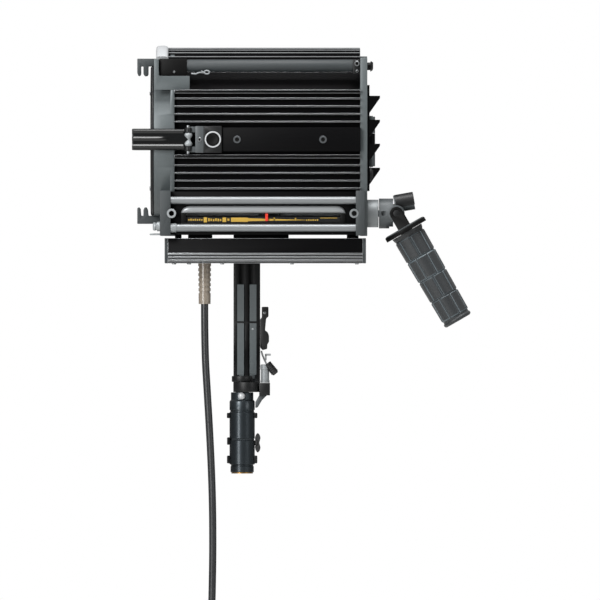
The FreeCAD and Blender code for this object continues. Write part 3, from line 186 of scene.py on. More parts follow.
BRUSHED, PEBBLED = Pattern.BRUSHED, Pattern.PEBBLED
DRAWN = (0.06, 1, 1)
TURNED = (0.1, 1, 1)

# Extruded, then dyed black: a dull sheen with faint draw lines along X. The fins' edges take a lighter grey
# that paints a highlight along them
ANODISED = Finish("black_anodised_aluminium", "020203", "060607", rough=0.48, specular=0.07,
                  pattern=BRUSHED, grain=0.8, stretch=DRAWN)
FIN_EDGE_HIGHLIGHT = Finish("painted_fin_edge_highlight", "96999b", "b0b2b4", metal=0.7, rough=0.36, pattern=BRUSHED,
                  grain=0.7, height=0.008, stretch=DRAWN)
# Sand castings under satin grey paint, in two shades: soft speckle of the cast skin
GREY_CASTING = Finish("satin_grey_painted_casting", "424849", "565c5e", metal=0.25, rough=0.45,
                      grain=1.6, height=0.05)
DARK_CASTING = Finish("dark_satin_casting", "383c3e", "4a4e50", metal=0.25, rough=0.46, grain=1.3,
                      height=0.04)
# Textured paints
BLACK_PAINT = Finish("fine_textured_black_paint", "070809", "111213", rough=0.42, specular=0.3,
                     pattern=PEBBLED, grain=0.9, height=0.03)
TEXTURED_GREY = Finish("textured_grey_paint", "1d2123", "303638", rough=0.6, pattern=PEBBLED, grain=1.1,
                       height=0.08)
CHANNEL_GREY = Finish("grey_textured_strip", "5a6163", "6c7375", metal=0.1, rough=0.55, pattern=PEBBLED,
                      grain=1.2, height=0.03)
# Bare and satin aluminium: turned, anodised and bead-blasted
BRIGHT = Finish("bright_turned_aluminium", "b9bcbe", "a9acae", metal=1.0, rough=0.32, spread=0.04,
                pattern=BRUSHED, height=0.001, stretch=TURNED)
SATIN_TUBE = Finish("satin_anodised_tube", "85888a", "75787a", metal=0.55, rough=0.42, spread=0.04,
                    pattern=BRUSHED, grain=0.8, height=0.001, stretch=TURNED)
SATIN_HOOD = Finish("satin_anodised_hood", "9da0a2", "8c8f91", metal=0.5, rough=0.42, spread=0.04,
                    grain=0.8, height=0.001)
BLASTED = Finish("bead_blasted_aluminium", "b9bbbd", "abadaf", metal=0.3, rough=0.42, height=0.004)
BLASTED_GREY = Finish("weathered_blasted_aluminium", "8f9395", "7e8284", metal=0.3, rough=0.46,
                      height=0.006)
# Steel and other metals
BLACK_STEEL = Finish("blackened_steel", "45484a", "54575a", metal=0.6, rough=0.42, grain=0.5,
                     height=0.004)
STEEL = Finish("ground_steel", "9a9c9e", "7f8284", metal=1.0, rough=0.34, pattern=BRUSHED, grain=0.5,
               height=0.006, stretch=(1, 1, 0.2))
BRASS = Finish("turned_brass", "b08a4a", "94703a", metal=1.0, rough=0.32, pattern=BRUSHED, grain=0.5,
               height=0.006)
MIRROR = Finish("polished_reflector", "d8d8d4", "c8c8c4", metal=1.0, rough=0.08, spread=0.03, grain=2.0,
                height=0.003)
# Smooth coats on the socket, the latch's lever, the needle and the scale
GLOSS_BLACK = Finish("gloss_black_enamel", "2b3135", "32383c", metal=0.75, rough=0.36, spread=0.02,
                     grain=8.0, height=0.0005, coat=0.15)
LACQUER = Finish("satin_black_lacquer", "040505", "08090a", rough=0.24, spread=0.02, grain=8.0,
                 height=0.0005, specular=0.45)
RED = Finish("red_needle_enamel", "f0402a", "dc3018", rough=0.4, grain=0.5, height=0.005)
GOLD_INK = Finish("gold_screen_ink", "e3bd52", "cfa540", metal=0.1, rough=0.45, grain=0.3, height=0.004)
SCALE_BLACK = Finish("black_printed_scale", "0a0a0b", "121213", rough=0.35, height=0.004)
# Plastics and rubbers
BLACK_PLASTIC = Finish("moulded_black_plastic", "08090a", "101112", grain=0.7, height=0.015, ior=1.54)
GRIP_RUBBER = Finish("moulded_grip_rubber", "0d1114", "171c1f", height=0.02, sheen=0.15, ior=1.52)
# a lighter grey of the grip's rubber for the pads' sloping edges: a painted highlight
GRIP_PAD_HIGHLIGHT = Finish("painted_highlight_rubber_pad_edge", "465055", "586166", rough=0.45, ior=1.52)
CORD_RUBBER = Finish("rubber_cable_sheath", "161718", "242628", rough=0.36, grain=2.0, ior=1.52)
# the strain relief's light tan-grey is partly the sleeve's colour and partly painted sheen along its ribs
RELIEF_RUBBER = Finish("glossy_sleeve_rubber", "6a6158", "8e8477", rough=0.28, grain=2.5, coat=0.4,
                       ior=1.52)
# Glass, ceramic, and a near-black, used for black parts and as painted shade inside the screws' sockets and
# on the bars' end shrouds
CERAMIC = Finish("unglazed_ceramic", "d8d2c4", "c6bfae", rough=0.75, grain=0.5, height=0.02)
LENS_GLASS = Finish("polished_lens_glass", "eef4f2", "e2ecea", rough=0.03, spread=0.01, grain=20.0,
                    height=0.0005, transmission=1.0, ior=1.52)
PANE = Finish("clear_acrylic_pane", "15181a", "1c1f21", rough=0.08, spread=0.02, grain=1.0, height=0.001,
              alpha=0.06)
QUARTZ = Finish("quartz_envelope", "f4f4f2", "ecece8", rough=0.05, spread=0.02, grain=8.0, height=0.001,
                transmission=1.0, ior=1.46)
RECESS = Finish("black_and_painted_shade", "040404", "080808", specular=0.12, grain=0.5, height=0.004)
FLOOR = Finish("pale_studio_floor", "eeeeec", "e8e8e6", rough=0.8, grain=30.0)

NODE_FINISHES: dict[Finish, str] = {
    ANODISED: "housing side_rails base_box base_spacers rear_door scale_cover",
    GREY_CASTING: "front_frame front_brackets rear_frame",
    BLACK_PAINT: "bar_fittings lens_ring claws button_block latch_base latch_lever yoke_arm pan_nut "
                 "pan_lock arm_lever handle_pins lens_cell pivot_hub carriage focus_nut",
    DARK_CASTING: "handle_collar",
    BRIGHT: "button_ring",
    BLASTED: "top_cap",
    BLASTED_GREY: "focus_sleeve",
    SATIN_TUBE: "guard_rods",
    SATIN_HOOD: "scale_bezel",
    STEEL: "rail_screws hinge_pins cover_screws guide_rails lead_screw",
    TEXTURED_GREY: "top_bars rod_blocks base_ends",
    LENS_GLASS: "lens",
    PANE: "scale_glass",
    QUARTZ: "lamp",
    MIRROR: "reflector",
    CERAMIC: "lamp_holder",
    BLACK_PLASTIC: "latch_button door_knob tilt_knob socket_lock grip_core plug_body cord_tie",
    RECESS: "handle_yoke",
    GLOSS_BLACK: "spigot_socket",
    RED: "needle",
    SCALE_BLACK: "scale_plate",
    GRIP_RUBBER: "grip_rubber",
    RELIEF_RUBBER: "strain_relief",
    BRASS: "socket_bush plug_pins",
}


def dress(item: bpy.types.Object, finish: Finish) -> None:
    """Give every material slot of an object one finish.

    Args:
        item: the object.
        finish: its finish.
    """
    if not item.data.materials:
        item.data.materials.append(finish.material())
    for slot in item.material_slots:
        slot.material = finish.material()


# Camera, light and floor

@dataclass
class Studio:
    """The photograph's side view: a long lens level with the head, soft light, pale floor."""

    centre_x: float = 69.6 * MM
    centre_z: float = 208.8 * MM
    near_plane: float = -85 * MM
    distance: float = 30.0
    frame_width: float = 720 * MM
    sensor_mm: float = 36.0
    aim_z: float = 0.35
    sky: Span = (0.05, 0.5)
    sky_from: Span = (-0.15, 0.75)
    backdrop: float = 1.0
    floor_z: float = -0.75
    floor_half: float = 7.0
    lamps: tuple[tuple[str, Point, float, float], ...] = (
        ("key", (-1.4, -2.1, 1.5), 0.9, 60), ("side", (-1.35, -2.2, 0.3), 0.7, 22),
        ("fill", (2.2, -1.9, 0.8), 1.0, 14), ("top", (0.1, -0.5, 2.0), 0.9, 34))

    def camera(self) -> None:
        """Set the camera square to the head's near side."""
        data = bpy.data.cameras.new("camera")
        data.sensor_width = self.sensor_mm
        data.lens = self.sensor_mm * self.distance / self.frame_width
        data.clip_end = 2 * self.distance
        item = bpy.data.objects.new("camera", data)
        item.location = (self.centre_x, self.near_plane - self.distance, self.centre_z)
        item.rotation_euler = (math.radians(90), 0, 0)
        bpy.context.scene.collection.objects.link(item)
        bpy.context.scene.camera = item

    def lamp(self, name: str, place: Point, size: float, power: float) -> None:
        """Add one square soft light aimed at the head.

        Args:
            name: the light's name.
            place: where it stands, in metres.
            size: its side, in metres.
            power: its power, in watts.
        """
        data = bpy.data.lights.new(name, "AREA")
        data.size = size
        data.energy = power
        item = bpy.data.objects.new(name, data)
        item.location = place
        aim = Vector((self.centre_x, 0, self.aim_z)) - Vector(place)
        item.rotation_euler = aim.to_track_quat("-Z", "Y").to_euler()
        bpy.context.scene.collection.objects.link(item)

    def light(self) -> None:
        """Light the scene: a broad key high on the left, a fill, a top light and a pale world."""
        bpy.context.scene.view_settings.view_transform = "Standard"
        for lamp in self.lamps:
            self.lamp(*lamp)
        world = bpy.data.worlds.new("world")
        bpy.context.scene.world = world
        world.use_nodes = True
        tree = world.node_tree
        tree.nodes.clear()
        path = add_node(tree, "LightPath", {}, {})
        place = add_node(tree, "TexCoord", {}, {})
        parts = add_node(tree, "SeparateXYZ", {}, {0: place.outputs["Generated"]})
        sky = add_node(tree, "MapRange", {"From Min": self.sky_from[0], "From Max": self.sky_from[1],
                                          "To Min": self.sky[0], "To Max": self.sky[1]},
                       {"Value": parts.outputs["Z"]})
        strength = add_node(tree, "MapRange", {"To Max": self.backdrop},
                            {"Value": path.outputs["Is Camera Ray"], "To Min": sky.outputs["Result"]})
        back = add_node(tree, "Background", {"Color": linear("ffffff")},
                        {"Strength": strength.outputs["Result"]})
        add_node(tree, "OutputWorld", {}, {"Surface": back.outputs["Background"]})

    def build(self) -> None:
        """Build the camera, the light and the pale floor under the hanging lead."""
        self.camera()
        self.light()
        mesh = bmesh.new()
        bmesh.ops.create_grid(mesh, x_segments=1, y_segments=1, size=self.floor_half)
        bmesh.ops.translate(mesh, vec=(0, 0, self.floor_z), verts=mesh.verts)
        new_piece("floor", mesh, FLOOR, unit=1.0)


def new_piece(name: str, mesh: Mesh, finish: Finish, smooth: bool = False, recalculate: bool = True,
              unit: float = MM) -> bpy.types.Object:
    """Make an object at the origin from a bmesh.

    Args:
        name: the piece's name.
        mesh: its bmesh, which is freed.
        finish: its finish.
        smooth: whether its faces are shaded smooth, with sharp edges kept by angle.
        recalculate: whether its faces are turned outwards again.
        unit: the length of the mesh's unit, in metres.

    Returns:
        The new object.
    """
    data = bpy.data.meshes.new(name)
    bmesh.ops.scale(mesh, vec=(unit, unit, unit), verts=mesh.verts)
    if recalculate:
        bmesh.ops.recalc_face_normals(mesh, faces=mesh.faces)
    mesh.to_mesh(data)
    mesh.free()
    if smooth:
        for face in data.polygons:
            face.use_smooth = True
        data.set_sharp_from_angle(angle=math.radians(SHARP_ANGLE))
    item = bpy.data.objects.new(name, data)
    bpy.context.scene.collection.objects.link(item)
    dress(item, finish)
    LOG.info("piece %s: %d faces", name, len(data.polygons))
    return item


# Shapes, drawn in millimetres

SHARP_ANGLE = 35.0
MERGE = 0.005
NODE_MERGE = 0.002
NODE_FLAT_ANGLE = 0.6
NODE_ROUND_ANGLE = 28.0
HEAD_SOFT = 0.35
SOCKET_FLOOR = 0.25
SOCKET_DRAFT = 0.96
AXES = {"x": Vector((1, 0, 0)), "y": Vector((0, 1, 0)), "z": Vector((0, 0, 1))}


def block(mesh: Mesh, low: Point, high: Point) -> Verts:
    """Add a block between two corners.

    Args:
        mesh: the bmesh that takes the block.
        low: its low corner.
        high: its high corner.

    Returns:
        The block's vertices.
    """
    made = bmesh.ops.create_cube(mesh, size=1.0)["verts"]
    bmesh.ops.scale(mesh, vec=Vector(high) - Vector(low), verts=made)
    bmesh.ops.translate(mesh, vec=(Vector(high) + Vector(low)) / 2, verts=made)
    return made


def turned(mesh: Mesh, centre: Point, axis: str, outline: Outline, steps: int = 40) -> Verts:
    """Turn an outline about an axis.

    Args:
        mesh: the bmesh that takes the shape.
        centre: the axis's starting point.
        axis: x, y or z.
        outline: (along, radius) points.
        steps: facets of a full turn.

    Returns:
        The vertices of the turned shape.
    """
    along = AXES[axis]
    across = AXES["z"] if axis != "z" else AXES["x"]
    start = Vector(centre)
    spots = [mesh.verts.new(start + along * reach + across * radius) for reach, radius in outline]
    edges = [mesh.edges.new(pair) for pair in zip(spots, spots[1:])]
    before = set(mesh.verts) - set(spots)
    bmesh.ops.spin(mesh, geom=spots + edges, cent=start, axis=along, dvec=(0, 0, 0),
                   angle=math.tau, steps=steps, use_merge=True, use_duplicate=False)
    made = [vert for vert in mesh.verts if vert not in before]
    bmesh.ops.remove_doubles(mesh, verts=made, dist=MERGE)
    return [vert for vert in mesh.verts if vert not in before]


def extruded(mesh: Mesh, outline: list[Point], travel: Point) -> None:
    """Extrude a closed outline.

    Args:
        mesh: the bmesh that takes the shape.
        outline: the outline's corners in order.
        travel: how far and which way the outline is extruded.
    """
    face = mesh.faces.new([mesh.verts.new(point) for point in outline])
    grown = bmesh.ops.extrude_face_region(mesh, geom=[face], use_keep_orig=True)["geom"]
    ends = [item for item in grown if isinstance(item, bmesh.types.BMVert)]
    bmesh.ops.translate(mesh, vec=travel, verts=ends)


def lofted(mesh: Mesh, rings: list[list[Point]]) -> Verts:
    """Join rings of points, each with as many points, into a solid with two closed ends.

    Args:
        mesh: the bmesh that takes the shape.
        rings: the rings in order along the solid.

    Returns:
        The solid's vertices.
    """
    rows = [[mesh.verts.new(point) for point in ring] for ring in rings]
    for near, far in zip(rows, rows[1:]):
        for place in range(len(near)):
            after = (place + 1) % len(near)
            mesh.faces.new((near[place], near[after], far[after], far[place]))
    mesh.faces.new(list(reversed(rows[0])))
    mesh.faces.new(rows[-1])
    return [vert for row in rows for vert in row]


def wire(mesh: Mesh, points: list[Point], radius: float, sides: int) -> None:
    """Add a round wire along points.

    Args:
        mesh: the bmesh that takes the wire.
        points: the wire's middle line.
        radius: the wire's radius.
        sides: facets around it.
    """
    spots = [Vector(point) for point in points]
    rings = []
    across = (spots[1] - spots[0]).orthogonal().normalized()
    for index, spot in enumerate(spots):
        along = (spots[min(len(spots) - 1, index + 1)] - spots[max(0, index - 1)]).normalized()
        across = (across - along * across.dot(along)).normalized()
        up = along.cross(across)
        angles = [math.tau * step / sides for step in range(sides)]
        rings.append([spot + radius * (math.cos(angle) * across + math.sin(angle) * up)
                      for angle in angles])
    lofted(mesh, rings)


def screw_head(mesh: Mesh, centre: Point, axis: str, out: int, radius: float, height: float,
               socket: float) -> None:
    """Add a round screw head with a six-sided socket, whose faces take the second material, a near-black that
    paints the shade inside it.

    Args:
        mesh: the bmesh that takes the head.
        centre: the middle of the face that the head sits on.
        axis: the screw's axis.
        out: 1 or -1, the way the head faces along the axis.
        radius: the head's radius.
        height: the head's height.
        socket: the socket's radius.
    """
    soft = min(HEAD_SOFT, height / 3)
    top, floor = out * height, out * height * SOCKET_FLOOR
    turned(mesh, centre, axis, [(0, radius), (out * (height - soft), radius), (top, radius - soft),
                                (top, socket)], steps=28)
    inside = [(top, socket), (floor, socket * SOCKET_DRAFT), (floor, 0)]
    held = set(turned(mesh, centre, axis, inside, steps=6))
    # the socket's faces take the second material: painted shade
    for face in mesh.faces:
        if held.issuperset(face.verts):
            face.material_index = 1


def rounded(mesh: Mesh, width: float, segments: int = 2, angle: float = 30.0) -> list[bmesh.types.BMFace]:
    """Round the sharp edges of a mesh, which catches the light along them.

    Args:
        mesh: a closed, merged bmesh.
        width: how far each rounding reaches.
        segments: facets of each rounding.
        angle: least angle between the faces of an edge that is rounded, in degrees.

    Returns:
        The faces of the roundings.
    """
    least = math.radians(angle)
    sharp = [edge for edge in mesh.edges
             if len(edge.link_faces) == 2 and edge.calc_face_angle(0.0) > least]
    return bmesh.ops.bevel(mesh, geom=sharp, offset=width, offset_type="OFFSET", affect="EDGES",
                           segments=segments, profile=0.5, material=-1, clamp_overlap=True)["faces"]


def placed(mesh: Mesh, verts: Verts, spot: Point, angle: float, axis: str = "Y") -> None:
    """Turn vertices about an axis through the origin, then move them.

    Args:
        mesh: the bmesh that holds the vertices.
        verts: the vertices.
        spot: where the origin goes.
        angle: the turn, in degrees.
        axis: X, Y or Z.
    """
    place = Matrix.Translation(spot) @ Matrix.Rotation(math.radians(angle), 4, axis)
    bmesh.ops.transform(mesh, matrix=place, verts=verts)


def softened(name: str, finish: Finish, width: float, edge: Finish | None) -> None:
    """Stand a copy with rounded edges in for a carried-over sub-part.

    Args:
        name: the sub-part's node.
        finish: the copy's finish.
        width: how far each rounding reaches, in millimetres.
        edge: the finish of the rounded edges, a lighter grey that paints a highlight along them.
    """
    mesh = bmesh.new()
    mesh.from_mesh(FRAME["nodes"][name].data)
    bmesh.ops.remove_doubles(mesh, verts=mesh.verts, dist=NODE_MERGE * MM)
    bmesh.ops.dissolve_limit(mesh, angle_limit=math.radians(NODE_FLAT_ANGLE), verts=mesh.verts,
                             edges=mesh.edges)
    for face in mesh.faces:
        face.material_index = 0
    made = rounded(mesh, width * MM, angle=NODE_ROUND_ANGLE)
    if edge is not None:
        for face in made:
            face.material_index = 1
    item = new_piece(name + "_softened", mesh, finish, smooth=True, recalculate=False, unit=1.0)
    if edge is not None:
        item.data.materials.append(edge.material())
    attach(item, BODY_OF[name])
    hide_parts(name)


# Mains lead

@dataclass
class MainsLead:
    """The lead: hangs from the strain relief, then a tied coil that ends in the plug."""

    radius: float = 4.4 * MM
    exit: Point = (-0.045, -0.045, 0.204)
    length: float = 2.019
    strand_gap: float = 0.8 * MM
    first_radius: float = 60 * MM
    lead_in: float = 8.8 * MM
    tail: float = 75 * MM
    tail_shares: Point = (0.25, 0.6, 1.0)
    half_turns_in: int = 5
    points_per_half_turn: int = 8
    route: tuple[Point, ...] = (
        (-0.045, -0.045, 0.204), (-0.045, -0.045, 0.150), (-0.0416, -0.0457, 0.095),
        (-0.0383, -0.0462, 0.038), (-0.0358, -0.046, -0.020), (-0.035, -0.0455, -0.078),
        (-0.0357, -0.0451, -0.134), (-0.037, -0.045, -0.180), (-0.037, -0.045, -0.222))

    def points(self) -> list[Vector]:
        """Work out the route's points with the coil's turns and the tail after them.

        Returns:
            The curve's points, in metres.
        """
        made = [Vector(point) for point in self.route]
        strand = 2 * self.radius + self.strand_gap
        corner = made[-1] - Vector((0, 0, self.lead_in))
        radius = self.first_radius
        swell = 1 / math.cos(math.pi / (2 * self.points_per_half_turn)) ** 0.5
        for count in range(2 * self.half_turns_in):
            side = 1 if count % 2 == 0 else -1
            climb = strand if count == self.half_turns_in else 0
            end = corner + Vector((side * 2 * radius, -climb, 0))
            centre = (corner + end) / 2
            for step in range(self.points_per_half_turn):
                angle = math.pi * (step + 0.5) / self.points_per_half_turn
                across = (corner - centre) * math.cos(angle) * swell
                down = Vector((0, 0, -side * math.sin(angle) * (end - corner).length / 2 * swell))
                made.append(centre + across + down)
            corner = end
            radius += strand / 2 if count >= self.half_turns_in else -strand / 2
        return made + [corner - Vector((0, 0, self.tail * share)) for share in self.tail_shares]

    def build(self) -> None:
        data = bpy.data.curves.new("mains_lead", "CURVE")
        data.dimensions = "3D"
        spline = data.splines.new("NURBS")
        points = self.points()
        spline.points.add(len(points) - 1)
        for spot, point in zip(spline.points, points):
            spot.co = (*point, 1.0)
        spline.order_u = 3
        spline.use_endpoint_u = True
        data.resolution_u = 6
        data.bevel_depth = self.radius
        data.bevel_resolution = 5
        data.use_fill_caps = True
        item = bpy.data.objects.new("mains_lead", data)
        bpy.context.scene.collection.objects.link(item)
        dress(item, CORD_RUBBER)
        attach(item, "head")
        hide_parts("cord_tube", "cord_coil")
        LOG.info("piece mains_lead: %d route points", len(points))


# Carried-over sub-parts

SOFT_EDGES = {0.35: "side_rails base_ends scale_cover front_brackets rod_blocks button_block "
                    "top_bars bar_fittings handle_pins",
              0.45: "housing base_box rear_frame rear_door base_spacers",
              0.6: "front_frame lens_ring yoke_arm handle_collar handle_yoke tilt_knob pan_nut "
                   "focus_sleeve"}
# the housing's and the base's rounded edges take the painted highlight finish
HIGHLIGHTED_EDGES = ("housing", "base_box")


def dress_nodes() -> None:
    """Give each carried-over sub-part its finish, and those in sight rounded edges."""
    finishes = {name: finish for finish, names in NODE_FINISHES.items() for name in names.split()}
    for name, finish in finishes.items():
        dress(FRAME["nodes"][name], finish)
    for width, names in SOFT_EDGES.items():
        for name in names.split():
            softened(name, finishes[name], width, FIN_EDGE_HIGHLIGHT if name in HIGHLIGHTED_EDGES else None)


@dataclass
class Assembly:
    """A sub-assembly: pieces drawn in millimetres that ride on a body."""

    body: str = "head"
    slot: str = "black_paint"

    def add(self, name: str, mesh: Mesh, finish: Finish, slot: str = "", body: str = "",
            replaces: str = "", second: Finish | None = None) -> None:
        """Make one of the assembly's pieces.

        Args:
            name: the piece's name.
            mesh: its bmesh.
            finish: its finish.
            slot: not used.
            body: the body it rides on, if not the replaced node's or else the assembly's.
            replaces: the node that it stands in for.
            second: the finish of faces with the second material.
        """
        item = new_piece(name, mesh, finish, smooth=True)
        if second is not None:
            item.data.materials.append(second.material())
        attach(item, body or BODY_OF.get(replaces, self.body))
        if replaces:
            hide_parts(replaces)

    def turn(self, name: str, centre: Point, axis: str, outline: Outline, finish: Finish,
             steps: int = 40, **place: str) -> None:
        """Make a piece by turning one outline.

        Args:
            name: the piece's name.
            centre: the axis's starting point.
            axis: x, y or z.
            outline: (along, radius) points.
            finish: its finish.
            steps: facets of a full turn.
            place: slot, body and replaces, as for add.
        """
        mesh = bmesh.new()
        turned(mesh, centre, axis, outline, steps)
        self.add(name, mesh, finish, **place)

    def blocks(self, name: str, corners: list[tuple[Point, Point]], finish: Finish, soft: float = 0.0,
               **place: str) -> None:
        """Make a piece of blocks.

        Args:
            name: the piece's name.
            corners: the low and the high corner of each block.
            finish: its finish.
            soft: how far its edges are rounded.
            place: slot, body and replaces, as for add.
        """
        mesh = bmesh.new()
        for low, high in corners:
            block(mesh, low, high)
        if soft:
            rounded(mesh, soft)
        self.add(name, mesh, finish, **place)

    def heads(self, name: str, axis: str, screws: list[tuple[Point, int, float, float, float]],
              finish: Finish, **place: str) -> None:
        """Make a piece of screw heads whose sockets are painted near-black as shade.

        Args:
            name: the piece's name.
            axis: the screws' axis.
            screws: the centre, way out, radius, height and socket of each, as for screw_head.
            finish: their finish.
            place: slot, body and replaces, as for add.
        """
        mesh = bmesh.new()
        for centre, *sizes in screws:
            screw_head(mesh, centre, axis, *sizes)
        self.add(name, mesh, finish, second=RECESS, **place)


@dataclass
class TopDeck(Assembly):
    """The domed cap, the crown fins' tips, the bars' dark end shrouds with screws, and the clips."""

    bar_y: float = 70.0
    shroud_x: Span = (-99.6, -66)
    shroud_z: Span = (477.9, 498.4)
    shroud_half: float = 8.4
    shroud_soft: float = 1.2
    screws: tuple[tuple[float, ...], ...] = (
        (-81.6, 482.4, 1.3, 0.7, 0.6), (138, 492.6, 3.2, 1, 1.92), (138, 483.4, 1.7, 1, 1.02))
    axis_z: float = 400.0
    cap_x: Span = (-103.4, -88.6)
    cap_radius: float = 115.0
    cap_inner: float = 100.6
    cap_side: float = 7.0
    cap_dome: float = 5.0
    cap_angle: float = 28.0
    cap_lips: Span = (0.6, 1.6)
    cap_steps: int = 40
    dome_steps: int = 12
    fins_each_side: int = 4
    fin_spread: float = 12.0
    fin_half: float = 0.9
    fin_foot: float = 92.0
    fin_tip: float = 112.4
    fin_rear: float = 141.8
    strip_height: float = 0.9
    strip_proud: float = 0.1
    clip_start: Point = (-61, 77.8, 480.6)
    clip_leg: tuple[Point, ...] = ((0, 0, 0), (5, 0, -0.6), (10, 0.6, 1.4))
    clip_end: Point = (12, 1.9, 3.4)
    loop_middle: Span = (18.8, 1.6)
    loop_half: Span = (3, 2.2)
    loop_turn: Span = (200.0, -32.0)
    loop_out: Span = (0.6, 0.12)
    loop_steps: int = 11
    clip_wire: float = 0.85
    clip_sides: int = 10

    def shrouds(self) -> None:
        """Make the near-black shroud around each bar's front end, partly a black part and partly painted
        shade of the recess there, and the screws at both its ends.
        """
        (front, rear), (low, high), half = self.shroud_x, self.shroud_z, self.shroud_half
        self.blocks("bar_shrouds", [((front, middle - half, low), (rear, middle + half, high))
                                    for middle in (-self.bar_y, self.bar_y)], RECESS,
                    self.shroud_soft)
        face = self.bar_y + half
        self.heads("shroud_screws", "y", [((along, side * face, up), side, *sizes) for side in SIDES
                                          for along, up, *sizes in self.screws], BRIGHT, slot="steel")

    def clips(self) -> None:
        """Make the wire clip under each bar: a straight leg, a loop and a short free end."""
        loop = []
        for step in range(self.loop_steps):
            angle = math.radians(self.loop_turn[0] + self.loop_turn[1] * step)
            loop.append((self.loop_middle[0] + self.loop_half[0] * math.cos(angle),
                         self.loop_out[0] + self.loop_out[1] * step,
                         self.loop_middle[1] + self.loop_half[1] * math.sin(angle)))
        mesh = bmesh.new()
        start, out_start, up_start = self.clip_start
        for side in SIDES:
            wire(mesh, [(start + along, side * (out_start + out), up_start + up)
                        for along, out, up in (*self.clip_leg, *loop, self.clip_end)],
                 self.clip_wire, self.clip_sides)
        self.add("bar_clips", mesh, BLASTED_GREY, "bright_metal")

    def cap(self) -> None:
        """Make the bright cap: a domed strip bent over the crown."""
        front, rear = self.cap_x
        side = self.cap_radius - self.cap_side
        outline = [(front + self.cap_lips[0], self.cap_inner), (front, side)]
        for step in range(self.dome_steps + 1):
            angle = math.pi * (1 - step / self.dome_steps)
            lean = math.copysign(abs(math.cos(angle)) ** 0.75, math.cos(angle))
            outline.append((front + (rear - front) / 2 * (1 + lean),
                            self.cap_radius - self.cap_dome + self.cap_dome * math.sin(angle) ** 0.6))
        outline += [(rear, side), (rear - self.cap_lips[1], self.cap_inner)]
        rings = []
        for step in range(self.cap_steps + 1):
            angle = math.radians(self.cap_angle * (2 * step / self.cap_steps - 1))
            rings.append([(along, reach * math.sin(angle), self.axis_z + reach * math.cos(angle))
                          for along, reach in outline])
        mesh = bmesh.new()
        lofted(mesh, rings)
        self.add("top_cap_domed", mesh, BLASTED, replaces="top_cap")

    def crown(self) -> None:
        """Make the crown fins' tips, thin, with a painted highlight along their upper edges."""
        mesh = bmesh.new()
        front = self.cap_x[1]
        for count in range(-self.fins_each_side, self.fins_each_side + 1):
            middle = count * self.fin_spread
            low = self.axis_z + math.sqrt(self.fin_foot ** 2 - middle ** 2)
            high = self.axis_z + math.sqrt(self.fin_tip ** 2 - middle ** 2)
            seam = high - self.strip_height
            wide = self.fin_half + self.strip_proud
            block(mesh, (front, middle - self.fin_half, low), (self.fin_rear, middle + self.fin_half, seam))
            strip = block(mesh, (front, middle - wide, seam), (self.fin_rear, middle + wide, high))
            for face in {face for corner in strip for face in corner.link_faces}:
                face.material_index = 1
        self.add("crown_fin_tips", mesh, ANODISED, "black_anodised", second=FIN_EDGE_HIGHLIGHT)

    def build(self) -> None:
        """Build the top deck's pieces."""
        self.cap()
        self.crown()
        self.shrouds()
        self.clips()


